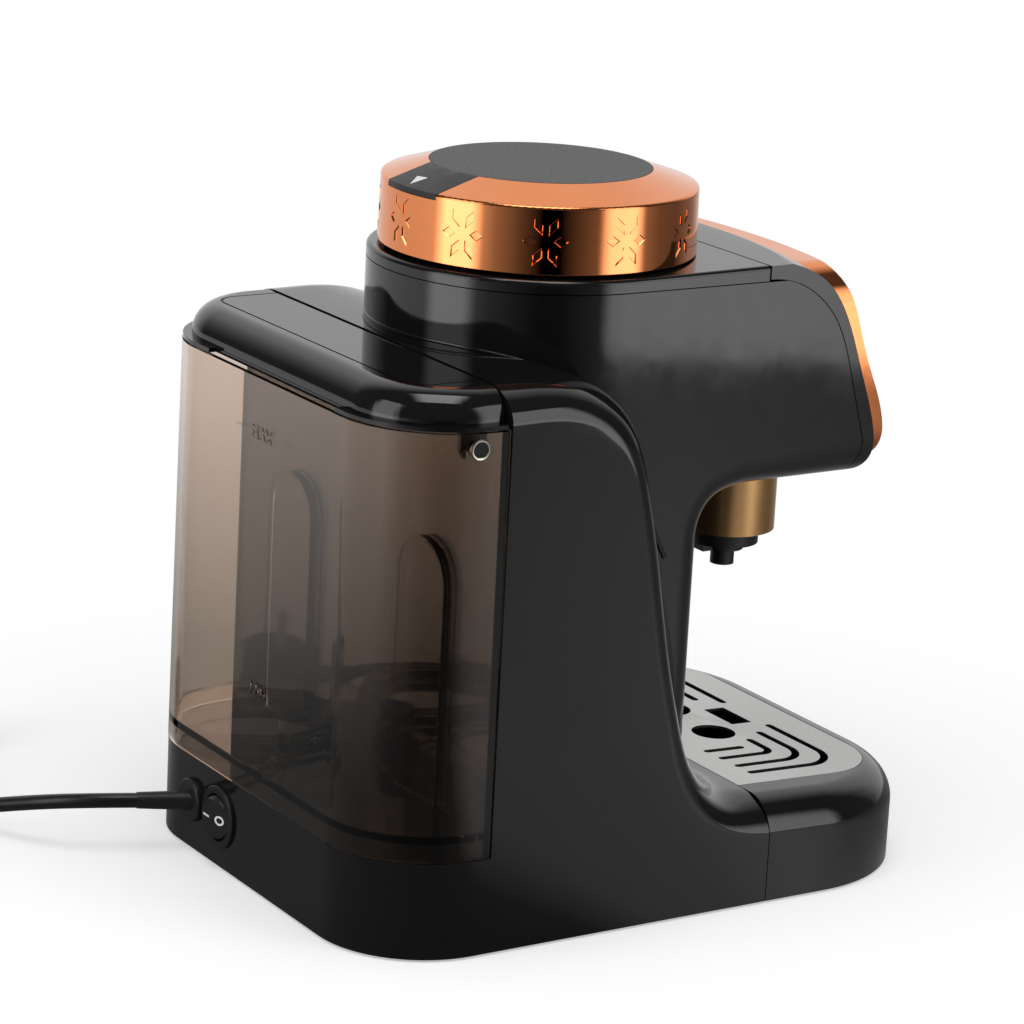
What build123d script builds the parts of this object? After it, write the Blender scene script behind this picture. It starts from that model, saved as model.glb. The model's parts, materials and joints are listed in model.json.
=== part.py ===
from build123d import *

import math
import os

# Electric Turkish coffee maker: lidded brew chamber in a tower, spout head, lift-off tank, drip tray.
# Frame: millimetres, +Z up, the machine's front faces -Y, its own right side is -X.
# The origin is on the table, under the middle of the machine.

os.makedirs("parts", exist_ok=True)

# ---------------------------------------------------------------- driving dimensions
WALL = 2.8                  # moulded ABS wall
SEAM = 0.4                  # visible gap between two moulded covers
FIT = 0.3                   # clearance of a piece that is dropped into place
RUN = 0.2                   # clearance of a piece that turns or slides

# casing
HALF_WIDTH = 99.5
FOOT_HEIGHT = 1.0           # the rubber feet lift the base this far off the table
REAR_Y = 131.65
REAR_CORNER = 41.6
SEAT_Z = 38.8               # top of the base, which the tank stands on
TANK_WALL_Y = 83.35         # rear wall of the body, against the tank
BODY_TOP = 217.0
SHOULDER_Z = 204.4          # where the body's side starts to roll into its top
SHOULDER_RUN = 20.0         # how far the shoulder reaches in from the side
SEAM_Y = -44.7              # joint between the base and the drip tray
TRAY_EDGE_Z = 27.3          # where the tray's side starts to roll into its top
TRAY_SEAM_Z = 41.5          # top of the base at the tray
CORNER_ROLL = 9.25          # rounding of the body's front edge at mid height

# tower and head
TOWER_Y = 13.0
TOWER_R = 66.0
TOWER_FOOT = 170.0          # the tower's wall starts here, under the lowest point of the body's edge
COLUMN_FRONT = -29.5
HEAD_UNDER = 157.5
GROOVE_Z = 241.0            # joint between the housing and the head cover
COVER_TOP = 246.3
COVER_ROUND = 1.8
HEAD_RISE = 1.1             # the head's top rises this much from the tower to HEAD_CREST_Y
HEAD_CREST_Y = -60.0
COVER_FRONT_Y = -51.5       # joint between the head cover and the front frame
BOW_FRAME = 11.0            # how far the middle of the front stands ahead of its sides
BOW_TRIM = 8.0

# brew chamber and its lid
CHAMBER_R = 46.0
CHAMBER_WALL = 1.5
CHAMBER_BOTTOM = 175.0
FLANGE_R = 51.2
FLANGE_Z = 243.0            # seat of the chamber's flange in the cover
FLANGE_T = 1.8
RING_Z = 247.6
RING_R = 62.0
RING_SHOULDER_Z = 273.3
RING_SHOULDER_R = 61.5
RING_WALL = 3.0
RIM_ROUND = 1.4             # rounding between the ring's side and its bevel
RIM_LOW_ROUND = 0.5
DISC_R = 43.2
DISC_Z = 279.1
DISC_T = 2.6
POINTER_HALF = 16.0
POINTER_T = 2.0
POINTER_ANGLE = 93.0        # degrees round the tower from +X
POST_R = 8.0

# spout and drip tray
SPOUT_Y = -85.5
SLEEVE_R = 20.4
SLEEVE_T = 1.4
SLEEVE_Z = 124.0
PLATE_R = 14.2
PLATE_Z = 117.5
NOZZLE_R = 8.3
NOZZLE_Z = 114.3
TIP_R = 4.9
TIP_Z = 107.7
TRAY_FRONT = -135.15
TRAY_CORNER = 61.0
TRAY_SHOULDER = 14.8
TRAY_SLOPE = 1.85           # degrees, down towards the front
GRILLE_HALF = 76.5
GRILLE_FRONT = -120.3
GRILLE_CORNER = 28.0
GRILLE_T = 1.2
BASIN_DEPTH = 27.0
SLOT_WIDTH = 3.3

# water tank
TANK_HALF = 98.6
TANK_REAR = 131.9
TANK_TOP = 202.3
TANK_WALL = 2.2
TANK_FLOOR_Z = 46.0
TANK_CORNER = 41.4
LID_Z = 204.6
LID_TOP = 216.5
LID_INSET = 3.6
PIVOT_Y = 96.15
PIVOT_Z = 196.6
PIVOT_R = 2.9
RIB_X = 49.5                # the two locating ribs of the body's rear wall
RIB_HALF = 14.5
RIB_TOP = 148.0
RIB_DEPTH = 3.0
DOCK_Y = 107.0
DOCK_R = 11.0

# rear inlet and mains lead
ROCKER_X = 23.5
ROCKER_Z = 21.3
ROCKER_R = 9.2
ROCKER_TILT = 10.0
BEZEL_R = ROCKER_R + 3.4
GLAND_X = 45.8
GLAND_Z = 21.2
GLAND_R = 8.85
GLAND_PROUD = 2.5
CORD_D = 6.0
CORD_LEAVE = 24.0           # degrees from straight back, towards +X
COIL_MID_R = 33.0
COIL_LAYERS = 2
COIL_TURNS_WIDE = 2

# ---------------------------------------------------------------- shapes that several pieces share


def lerp(a, b, w):
    """The point a share w of the way from a to b."""
    return (a[0] + (b[0] - a[0]) * w, a[1] + (b[1] - a[1]) * w)


def quarter(depth, run):
    """Height reached by a quarter-round roll, as a share, this deep in from its side."""
    return math.sqrt(max(0.0, 1 - (1 - min(depth / run, 1.0)) ** 2))


def roll_depths(run):
    """Depths in from the side that split a quarter-round roll into equal turns."""
    return [run * (1 - math.cos(math.pi / 2 * step / ROLL_STEPS)) for step in range(ROLL_STEPS + 1)]


# The body's front edge, from the tray joint up to the flat top, as (y, z):
# where it leaves the side wall, and where it meets the column, the head and the tower.
EDGE_OUTER = [
    (SEAM_Y, TRAY_EDGE_Z), (-24.4, 31.7), (-4.9, 47.3), (7.2, 78.8), (14.7, 111.5),
    (22.1, 151.4), (27.3, 174.5), (38.0, 194.5), (57.0, 203.6), (TANK_WALL_Y, SHOULDER_Z),
]
EDGE_INNER = [
    (SEAM_Y, TRAY_SEAM_Z), (-30.0, 45.5), (-21.6, 58.5), (-19.0, 82.0), (-13.0, 112.5),
    (-2.6, 152.0), (3.2, 174.0), (20.8, 201.8), (43.0, 214.4), (TANK_WALL_Y, BODY_TOP),
]
EDGE_ROUND = [1.0, 0.6, 0.2, 0.0, 0.0, 0.0, 0.0, 0.45, 0.9, 1.0]   # share of wide shoulder in the roll
CHEEK = HALF_WIDTH - TOWER_R
ROLL_STEPS = 12             # facets in a quarter-round roll


def edge_share(depth, span, share):
    """How far the front edge has moved from its outer to its inner line at this depth."""
    limit = math.radians(57)
    knee = CORNER_ROLL * (1 - math.cos(limit))
    if depth <= knee:
        reach = math.sqrt(max(0.0, 2 * CORNER_ROLL * depth - depth * depth))
    else:
        start = CORNER_ROLL * math.sin(limit)
        reach = start + (span - start) * (depth - knee) / (CHEEK - knee)
    wide = quarter(depth, SHOULDER_RUN)
    return share * wide + (1 - share) * reach / span


def front_edge(depth):
    """Points of the body's front edge, this deep in from the side wall."""
    points = []
    for outer, inner, share in zip(EDGE_OUTER, EDGE_INNER, EDGE_ROUND):
        span = math.dist(outer, inner)
        points.append(lerp(outer, inner, edge_share(depth, span, share)))
    return points


def body_outline(depth):
    """Side outline of the body at this depth, as one closed wire; goes inside a BuildLine."""
    edge = Spline(*front_edge(depth), tangents=[(1, 0.1), (1, 0)], tangent_scalars=[1, 1])
    Polyline(edge @ 1, (TANK_WALL_Y, FOOT_HEIGHT), (SEAM_Y, FOOT_HEIGHT), edge @ 0)


# The head's lower edge, from the column's foot up and forward, as (y, z), with the width of its roll:
HEAD_SIDE = [(-17.8, 142.0), (-21.2, 156.0), (-29.0, 166.0), (-41.0, 171.8), (-56.0, 174.2)]
HEAD_BELOW = [(COLUMN_FRONT, 139.0), (-32.0, 149.0), (-39.0, 155.0), (-50.0, 157.3), (-62.0, HEAD_UNDER)]
HEAD_ROLL = [11.7, 13.0, 15.0, 17.0, 18.5]
HEAD_END = -130.0           # the head form runs on past the front, which trims it
FORM_TOP = 252.0


def head_outline(depth):
    """Side outline of column and head at this depth in from the head's side."""
    points = [
        lerp(side, below, quarter(depth, run))
        for side, below, run in zip(HEAD_SIDE, HEAD_BELOW, HEAD_ROLL)
    ]
    column = Line((points[0][0], FOOT_HEIGHT + 38), points[0])
    arch = Spline(*points, tangents=[(0, 1), (-1, 0.04)])
    last = lerp((HEAD_END, 179.0), (HEAD_END, HEAD_UNDER), quarter(depth, HEAD_ROLL[-1]))
    Polyline(
        arch @ 1, last, (HEAD_END, FORM_TOP), (TOWER_Y, FORM_TOP), (TOWER_Y, FOOT_HEIGHT + 38), column @ 0
    )


FRONT_PROFILE = [           # outer line of the front, top to bottom, at the head's sides
    (-45.0, 249.6), (-65.9, 246.2), (-80.5, 238.0), (-92.3, 219.7), (-98.8, 202.3),
    (-107.2, 176.0), (-107.4, 165.5), (-100.5, 157.0),
]
TRIM_PROFILE = [            # outer line of the copper trim
    (-50.0, 256.0), (-76.0, 249.5), (-90.5, 236.7), (-96.6, 223.9), (-103.2, 205.3),
    (-112.4, 181.0), (-112.6, 168.5), (-104.0, 156.0),
]
SEAM_PROFILE = [            # joint between the housing and the front frame
    (COVER_FRONT_Y, 241.9), (-66.5, 239.0), (-81.9, 227.3), (-94.2, 199.5), (-101.6, 174.5), (-102.0, 150.0),
]


def front_form(profile, bow, back=0.0):
    """Everything behind a front that is bowed in plan: its side profile, moved forward in the middle."""
    half = TOWER_R + 6
    with BuildPart() as form:
        for x in (-half, -half / 2, 0, half / 2, half):
            ahead = bow * (1 - (x / TOWER_R) ** 2) - back
            with BuildSketch(Plane.YZ.offset(x)):
                with BuildLine():
                    face = Spline(*[(y - ahead, z) for y, z in profile])
                    Polyline(face @ 1, (30, (face @ 1).Y - 6), (30, (face @ 0).Y + 8), face @ 0)
                make_face()
        loft()
    return form.part


def ahead_of_seam(gap):
    """Everything in front of the seam between housing and front frame, starting this far ahead of it."""
    with BuildPart() as zone:
        with BuildSketch(Plane.YZ):
            with BuildLine():
                points = [(y - gap, z + 0.3 * gap) for y, z in SEAM_PROFILE]
                seam = Spline(*points, tangents=[(-1, 0), (0, -1)])
                Polyline(seam @ 1, (-160, 140), (-160, 270), (seam @ 0 + (0, 28)), seam @ 0)
            make_face()
        extrude(amount=TOWER_R + 4, both=True)
    return zone.part


def rounded_plan(half, front, rear, corner):
    """Plan outline with two round rear corners; goes inside a BuildLine."""
    Line((-half, front), (half, front))
    Line((half, front), (half, rear - corner))
    RadiusArc((half, rear - corner), (half - corner, rear), -corner)
    Line((half - corner, rear), (-half + corner, rear))
    RadiusArc((-half + corner, rear), (-half, rear - corner), -corner)
    Line((-half, rear - corner), (-half, front))


def tray_plan(inset, seam_y):
    """Plan outline of the drip tray, this far inside its outer wall; goes inside a BuildLine."""
    half = HALF_WIDTH - inset
    front = TRAY_FRONT + inset
    corner = TRAY_CORNER - inset
    Line((-half, seam_y), (half, seam_y))
    Line((half, seam_y), (half, front + corner))
    RadiusArc((half, front + corner), (half - corner, front), corner)
    Line((half - corner, front), (-half + corner, front))
    RadiusArc((-half + corner, front), (-half, front + corner), corner)
    Line((-half, front + corner), (-half, seam_y))


# ---------------------------------------------------------------- the casing's outer form

with BuildPart() as cheek:
    for station in roll_depths(SHOULDER_RUN) + [(SHOULDER_RUN + CHEEK) / 2, CHEEK]:
        with BuildSketch(Plane.YZ.offset(HALF_WIDTH - station)):
            with BuildLine():
                body_outline(station)
            make_face()
    loft(ruled=True)

with BuildPart() as body_form:
    with BuildSketch(Plane.YZ):
        with BuildLine():
            body_outline(CHEEK)
        make_face()
    extrude(amount=TOWER_R, both=True)
    add(cheek.part)
    add(mirror(cheek.part, about=Plane.YZ, mode=Mode.PRIVATE))
    with BuildSketch(Plane.XY.offset(FOOT_HEIGHT)):
        with BuildLine():
            rounded_plan(HALF_WIDTH, TANK_WALL_Y - 20, REAR_Y, REAR_CORNER)
        make_face()
    extrude(amount=SEAT_Z - FOOT_HEIGHT)

with BuildPart() as head_cheek:
    for station in roll_depths(HEAD_ROLL[-1]):
        with BuildSketch(Plane.YZ.offset(TOWER_R - station)):
            with BuildLine():
                head_outline(station)
            make_face()
    loft(ruled=True)

with BuildPart() as head_form:
    with BuildSketch(Plane.YZ):
        with BuildLine():
            head_outline(HEAD_ROLL[-1])
        make_face()
    extrude(amount=TOWER_R - HEAD_ROLL[-1], both=True)
    add(head_cheek.part)
    add(mirror(head_cheek.part, about=Plane.YZ, mode=Mode.PRIVATE))
    with BuildSketch(Plane.YZ):
        with BuildLine():
            Polyline(
                (TOWER_Y + 2, COVER_TOP), (TOWER_Y, COVER_TOP), (HEAD_CREST_Y, COVER_TOP + HEAD_RISE),
                (HEAD_END - 10, COVER_TOP + 2 * HEAD_RISE), (HEAD_END - 10, 270), (TOWER_Y + 2, 270),
                close=True
            )
        make_face()
    extrude(amount=TOWER_R + 2, both=True, mode=Mode.SUBTRACT)


def save(part, name):
    """Label a finished piece and write it to its own file."""
    part.label = name
    export_step(part, f"parts/{name}.step")


# ---------------------------------------------------------------- casing

SCREW_SPOTS = [(-78, 100), (78, 100), (-91, 30), (91, 30), (-52, -34), (52, -34)]
SCREW_R = 1.4
COVER_T = 2.5
FOOT_SPOTS = [(-70, 106), (70, 106), (-78, -18), (78, -18)]
STUB_R = 4.0
COVER_UP = FOOT_HEIGHT + COVER_T          # upper face of the bottom cover
BEZEL_BARREL = ROCKER_R + 1.0
GLAND_NECK = 5.0
TONGUE_X = 60.0
TONGUE_Z = 8.0
TONGUE_W = 16.0
TONGUE_T = 4.0
TONGUE_LONG = 30.0
INSIDE = HALF_WIDTH - WALL
TOWER_INSIDE = TOWER_R - WALL

with BuildPart() as main_housing:
    add(head_form.part)
    add(ahead_of_seam(0.0), mode=Mode.SUBTRACT)
    with BuildSketch(Plane.XY.offset(GROOVE_Z)):
        Rectangle(200, 300)
    extrude(amount=30, mode=Mode.SUBTRACT)
    add(body_form.part)
    with BuildSketch(Plane.XY.offset(TOWER_FOOT)):
        with Locations((0, TOWER_Y)):
            Circle(TOWER_R)
    extrude(amount=GROOVE_Z - TOWER_FOOT)
    # locating ribs of the tank, on the rear wall
    with BuildSketch(Plane.XZ.offset(-TANK_WALL_Y)):
        with Locations((-RIB_X, 0), (RIB_X, 0)):
            with Locations((0, RIB_TOP - RIB_HALF)):
                Circle(RIB_HALF)
            with Locations((0, (SEAT_Z + RIB_TOP - RIB_HALF) / 2)):
                Rectangle(2 * RIB_HALF, RIB_TOP - RIB_HALF - SEAT_Z)
    extrude(amount=-RIB_DEPTH)
    # hollow of the base
    with BuildSketch(Plane.XY.offset(FOOT_HEIGHT)):
        with BuildLine():
            rounded_plan(INSIDE, SEAM_Y + WALL, REAR_Y - WALL, REAR_CORNER - WALL)
        make_face()
    extrude(amount=23, mode=Mode.SUBTRACT)
    with BuildSketch(Plane.XY.offset(FOOT_HEIGHT)):
        with BuildLine():
            rounded_plan(INSIDE, EDGE_OUTER[3][0] + WALL, REAR_Y - WALL, REAR_CORNER - WALL)
        make_face()
    extrude(amount=SEAT_Z - WALL - FOOT_HEIGHT, mode=Mode.SUBTRACT)
    with BuildSketch(Plane.XY.offset(FOOT_HEIGHT)):
        with Locations((0, SEAM_Y + WALL)):
            Rectangle(2 * TOWER_INSIDE, 60, align=(Align.CENTER, Align.MIN))
    extrude(amount=TRAY_SEAM_Z - WALL - FOOT_HEIGHT, mode=Mode.SUBTRACT)
    # hollow of the body, behind its curved front edge
    with BuildSketch(Plane.YZ):
        with BuildLine():
            Polyline(
                *[(y + 1.6 * WALL, z - 0.5 * WALL) for y, z in EDGE_OUTER[2:8]],
                (EDGE_OUTER[8][0], SHOULDER_Z - WALL), (TANK_WALL_Y - WALL, SHOULDER_Z - WALL),
                (TANK_WALL_Y - WALL, SEAT_Z - WALL), (EDGE_OUTER[2][0] + 1.6 * WALL, SEAT_Z - WALL),
                close=True
            )
        make_face()
    extrude(amount=INSIDE, both=True, mode=Mode.SUBTRACT)
    with BuildSketch(Plane.YZ):
        with BuildLine():
            Polyline(
                (30, SHOULDER_Z - 8), (48, BODY_TOP - 2 * WALL), (60, BODY_TOP - WALL),
                (TANK_WALL_Y - WALL, BODY_TOP - WALL), (TANK_WALL_Y - WALL, SHOULDER_Z - 8), close=True
            )
        make_face()
    extrude(amount=TOWER_INSIDE, both=True, mode=Mode.SUBTRACT)
    # hollow of column, head and tower
    with Locations((0, COLUMN_FRONT + 1.25 * WALL, SEAT_Z - 10)):
        Box(120, 50, 122, align=(Align.CENTER, Align.MIN, Align.MIN), mode=Mode.SUBTRACT)
    with Locations((0, -18, 140)):
        Box(120, 40, 40, align=(Align.CENTER, Align.MIN, Align.MIN), mode=Mode.SUBTRACT)
    for half, floor in ((TOWER_INSIDE, 180.0), (58.0, 166.0), (46.0, HEAD_UNDER + WALL)):
        with Locations((0, TOWER_Y, floor)):
            Box(2 * half, 140, 80, align=(Align.CENTER, Align.MAX, Align.MIN), mode=Mode.SUBTRACT)
    with BuildSketch(Plane.XY.offset(HEAD_UNDER + WALL)):
        with Locations((0, TOWER_Y)):
            Circle(TOWER_INSIDE)
    extrude(amount=90, mode=Mode.SUBTRACT)
    # screw posts of the bottom cover
    for spots, ceiling in ((SCREW_SPOTS[:4], SEAT_Z), (SCREW_SPOTS[4:], TRAY_SEAM_Z)):
        with BuildSketch(Plane.XY.offset(COVER_UP)):
            with Locations(*spots):
                Circle(4.0)
        extrude(amount=ceiling - WALL / 2 - COVER_UP)
    with BuildSketch(Plane.XY.offset(COVER_UP)):
        with Locations((-(INSIDE + 91) / 2, 30), ((INSIDE + 91) / 2, 30)):
            Rectangle(INSIDE - 91 + 1, 3)
    extrude(amount=SEAT_Z - COVER_UP - WALL / 2)
    with BuildSketch(Plane.XY.offset(COVER_UP - 1)):
        with Locations(*SCREW_SPOTS):
            Circle(SCREW_R + 0.05)
    extrude(amount=16, mode=Mode.SUBTRACT)
    # holes for dock, rocker, gland and spout
    with BuildSketch(Plane.XY.offset(SEAT_Z - 10)):
        with Locations((0, DOCK_Y)):
            Circle(DOCK_R + RUN)
    extrude(amount=20, mode=Mode.SUBTRACT)
    with BuildSketch(Plane.XZ.offset(-REAR_Y - 5)):
        with Locations((ROCKER_X, ROCKER_Z)):
            Circle(BEZEL_BARREL + RUN)
        with Locations((GLAND_X, GLAND_Z)):
            Circle(GLAND_NECK + RUN)
    extrude(amount=12, mode=Mode.SUBTRACT)
    with BuildSketch(Plane.XY.offset(HEAD_UNDER - 5)):
        with Locations((0, SPOUT_Y)):
            Circle(8.2)
    extrude(amount=12, mode=Mode.SUBTRACT)
    # tongues that carry the drip tray
    with Locations((-TONGUE_X, SEAM_Y, TONGUE_Z), (TONGUE_X, SEAM_Y, TONGUE_Z)):
        Box(TONGUE_W, TONGUE_LONG, TONGUE_T, align=(Align.CENTER, Align.MAX, Align.CENTER))
save(main_housing.part, "main_housing")

with BuildPart() as bottom_cover:
    with BuildSketch(Plane.XY.offset(FOOT_HEIGHT)):
        with BuildLine():
            rounded_plan(INSIDE - FIT, SEAM_Y + WALL + FIT, REAR_Y - WALL - FIT, REAR_CORNER - WALL - FIT)
        make_face()
        with Locations(*FOOT_SPOTS):
            Circle(STUB_R + 0.1, mode=Mode.SUBTRACT)
        with Locations(*SCREW_SPOTS):
            Circle(SCREW_R + 0.2, mode=Mode.SUBTRACT)
    extrude(amount=COVER_T)
    with BuildSketch(Plane.XY.offset(FOOT_HEIGHT)):
        with Locations(*SCREW_SPOTS):
            Circle(3.0)
    extrude(amount=1.4, mode=Mode.SUBTRACT)
    # posts of the power board and cradle of the pump
    with BuildSketch(Plane.XY.offset(COVER_UP)):
        with Locations((20, 0), (80, 0), (20, 60), (80, 60)):
            Circle(3)
        with Locations((-54, 28), (-54, 66)):
            Rectangle(30, 6)
    extrude(amount=6)
save(bottom_cover.part, "bottom_cover")

with BuildPart() as cover_screws:
    with BuildSketch(Plane.XY.offset(FOOT_HEIGHT + 0.2)):
        with Locations(*SCREW_SPOTS):
            Circle(2.7)
    extrude(amount=1.2)
    with BuildSketch(Plane.XY.offset(FOOT_HEIGHT + 1.4)):
        with Locations(*SCREW_SPOTS):
            Circle(SCREW_R)
    extrude(amount=12)
    with BuildSketch(Plane.XY.offset(FOOT_HEIGHT + 0.2)):
        with Locations(*SCREW_SPOTS):
            Rectangle(3.2, 0.7)
            Rectangle(0.7, 3.2)
    extrude(amount=0.8, mode=Mode.SUBTRACT)
save(cover_screws.part, "cover_screws")

with BuildPart() as rubber_feet:
    with BuildSketch():
        with Locations(*FOOT_SPOTS):
            Circle(9)
    extrude(amount=FOOT_HEIGHT)
    with BuildSketch(Plane.XY.offset(FOOT_HEIGHT)):
        with Locations(*FOOT_SPOTS):
            Circle(STUB_R)
    extrude(amount=COVER_T + 1)
save(rubber_feet.part, "rubber_feet")



def top_rim(cover):
    """Outer edges of the head's top: the arc round the tower and the two long sides."""
    rim = []
    for edge in cover.edges():
        middle = edge.position_at(0.5)
        if middle.Z > COVER_TOP - 0.05 and edge.center().Z > COVER_TOP - 0.05:
            if abs(middle.X) > TOWER_R - 0.1 or math.dist((middle.X, middle.Y), (0, TOWER_Y)) > TOWER_R - 0.1:
                rim.append(edge)
    return rim


with BuildPart() as head_cover:
    add(head_form.part)
    with BuildSketch(Plane.XY.offset(GROOVE_Z)):
        with Locations((0, TOWER_Y)):
            Circle(TOWER_R)
    extrude(amount=COVER_TOP - GROOVE_Z)
    with BuildSketch(Plane.XY.offset(GROOVE_Z + SEAM)):
        Rectangle(200, 300)
    extrude(amount=-220, mode=Mode.SUBTRACT)
    with Locations((0, COVER_FRONT_Y + SEAM, 200)):
        Box(200, 120, 100, align=(Align.CENTER, Align.MAX, Align.MIN), mode=Mode.SUBTRACT)
    with BuildSketch(Plane.XY.offset(FLANGE_Z)):
        with Locations((0, TOWER_Y)):
            Circle(FLANGE_R + FIT)
    extrude(amount=10, mode=Mode.SUBTRACT)
    with BuildSketch(Plane.XY.offset(GROOVE_Z)):
        with Locations((0, TOWER_Y)):
            Circle(CHAMBER_R + FIT)
    extrude(amount=10, mode=Mode.SUBTRACT)
    fillet(top_rim(head_cover), COVER_ROUND)
save(head_cover.part, "head_cover")

# ---------------------------------------------------------------- front frame, copper trim and controls

FRAME_WALL = 4.0
PANEL_BACK = 0.4
PANEL_T = 3.0
WINDOW_W = 84.0
WINDOW_H = 42.0
LEAN = 25.3                 # the front leans back this much from the vertical
BUTTON_X = 18.0
BUTTON_R = 8.0
BOARD_BACK = 14.5
BOARD_T = 1.6
lean = math.radians(LEAN)
FACE = Plane(origin=(0, -110.2, 200), x_dir=(1, 0, 0), z_dir=(0, -math.cos(lean), math.sin(lean)))

front_outer = front_form(FRONT_PROFILE, BOW_FRAME)

with BuildPart() as frame_hollow:
    add(front_form(FRONT_PROFILE, BOW_FRAME, back=FRAME_WALL))
    with Locations((0, -90, 164)):
        Box(
            2 * (TOWER_R - FRAME_WALL - 3), 80, 73,
            align=(Align.CENTER, Align.CENTER, Align.MIN), mode=Mode.INTERSECT
        )

with BuildPart() as front_frame:
    add(head_form.part)
    add(front_outer, mode=Mode.INTERSECT)
    add(ahead_of_seam(SEAM), mode=Mode.INTERSECT)
    add(frame_hollow.part, mode=Mode.SUBTRACT)
    with BuildSketch(FACE):
        RectangleRounded(WINDOW_W, WINDOW_H, 8)
    extrude(amount=25, both=True, mode=Mode.SUBTRACT)
save(front_frame.part, "front_frame")

with BuildPart() as trim_band:
    with BuildSketch(Plane.XZ.offset(64)):
        with Locations((0, 203.2)):
            RectangleRounded(126, 81, 16)
            RectangleRounded(118, 73, 12, mode=Mode.SUBTRACT)
    extrude(amount=70)

with BuildPart() as front_trim:
    add(front_form(TRIM_PROFILE, BOW_TRIM))
    add(front_outer, mode=Mode.SUBTRACT)
    add(trim_band.part, mode=Mode.INTERSECT)
save(front_trim.part, "front_trim")

BUTTON_SPOTS = [(-BUTTON_X, -4), (BUTTON_X, -4)]
LENS_SPOTS = [(-BUTTON_X, 12), (BUTTON_X, 12)]
POST_SPOTS = [(-36, -14), (36, -14), (-36, 14), (36, 14)]

with BuildPart() as panel_block:
    with BuildSketch(FACE):
        RectangleRounded(WINDOW_W - 2 * FIT, WINDOW_H - 2 * FIT, 8 - FIT)
    extrude(amount=20, both=True)

with BuildPart() as panel_posts:
    add(front_form(FRONT_PROFILE, BOW_FRAME, back=PANEL_BACK + PANEL_T / 2))
    with BuildSketch(FACE.offset(-BOARD_BACK + BOARD_T)):
        with Locations(*POST_SPOTS):
            Circle(2.2)
    extrude(amount=30, mode=Mode.INTERSECT)

with BuildPart() as control_panel:
    add(front_form(FRONT_PROFILE, BOW_FRAME, back=PANEL_BACK))
    add(front_form(FRONT_PROFILE, BOW_FRAME, back=PANEL_BACK + PANEL_T), mode=Mode.SUBTRACT)
    add(panel_block.part, mode=Mode.INTERSECT)
    add(panel_posts.part)
    with BuildSketch(FACE.offset(-8)):
        with Locations(*BUTTON_SPOTS):
            Circle(BUTTON_R + RUN)
        with Locations(*LENS_SPOTS):
            Circle(1.6)
    extrude(amount=20, mode=Mode.SUBTRACT)
save(control_panel.part, "control_panel")

for spot, name in zip(BUTTON_SPOTS, ("small_cup_button", "large_cup_button")):
    with BuildPart() as cup_button:
        with BuildSketch(FACE.offset(-7)):
            with Locations(spot):
                Circle(BUTTON_R)
        extrude(amount=8.2)
        fillet(cup_button.edges().group_by(Axis((0, 0, 0), FACE.z_dir))[-1], 0.6)
        with BuildSketch(FACE.offset(-7)):
            with Locations(spot):
                Circle(BUTTON_R + 1.4)
        extrude(amount=1.3)
    save(cup_button.part, name)

with BuildPart() as indicator_lenses:
    with BuildSketch(FACE.offset(-5)):
        with Locations(*LENS_SPOTS):
            Circle(1.5)
    extrude(amount=4.6)
save(indicator_lenses.part, "indicator_lenses")

with BuildPart() as control_board:
    with BuildSketch(FACE.offset(-BOARD_BACK)):
        Rectangle(80, 36)
    extrude(amount=BOARD_T)
    with BuildSketch(FACE.offset(-BOARD_BACK)):
        with Locations((-20, 0), (10, 6)):
            Rectangle(12, 9)
    extrude(amount=-2.5)
save(control_board.part, "control_board")

with BuildPart() as tact_switches:
    with BuildSketch(FACE.offset(-BOARD_BACK + BOARD_T)):
        with Locations(*BUTTON_SPOTS):
            Rectangle(6, 6)
    extrude(amount=3.4)
    with BuildSketch(FACE.offset(-BOARD_BACK + 5.0)):
        with Locations(*BUTTON_SPOTS):
            Circle(1.75)
    extrude(amount=0.9)
save(tact_switches.part, "tact_switches")

# ---------------------------------------------------------------- brew chamber and what is under it

FILL_X = -54.0
FILL_Y = 2.0
FILL_Z = 204.0
OUTLET_Z = 182.0
HOSE_IN = 3.0
HOSE_OUT = 4.5

with BuildPart() as brew_chamber:
    with BuildSketch(Plane.XY.offset(CHAMBER_BOTTOM)):
        with Locations((0, TOWER_Y)):
            Circle(CHAMBER_R)
    extrude(amount=FLANGE_Z - CHAMBER_BOTTOM)
    with BuildSketch(Plane.XY.offset(FLANGE_Z)):
        with Locations((0, TOWER_Y)):
            Circle(FLANGE_R)
    extrude(amount=FLANGE_T)
    with BuildSketch(Plane.XY.offset(FILL_Z)):
        with Locations(((FILL_X - CHAMBER_R + 4) / 2, FILL_Y)):
            Rectangle(-FILL_X - CHAMBER_R + 4 + 8, 11)
    extrude(amount=8)
    with BuildSketch(Plane.XY.offset(FILL_Z)):
        with Locations((FILL_X, FILL_Y)):
            Circle(HOSE_IN - 0.1)
    extrude(amount=-8)
    with BuildSketch(Plane.XZ.offset(-TOWER_Y + CHAMBER_R - 2)):
        with Locations((0, OUTLET_Z)):
            Circle(HOSE_IN - 0.1)
    extrude(amount=12)
    with BuildSketch(Plane.XY.offset(CHAMBER_BOTTOM + CHAMBER_WALL)):
        with Locations((0, TOWER_Y)):
            Circle(CHAMBER_R - CHAMBER_WALL)
    extrude(amount=90, mode=Mode.SUBTRACT)
    with BuildSketch(Plane.XZ.offset(-TOWER_Y + CHAMBER_R - 5)):
        with Locations((0, OUTLET_Z)):
            Circle(1.8)
    extrude(amount=20, mode=Mode.SUBTRACT)
save(brew_chamber.part, "brew_chamber")

HEATER_T = 6.0
HEATER_LOW = CHAMBER_BOTTOM - HEATER_T

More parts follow.
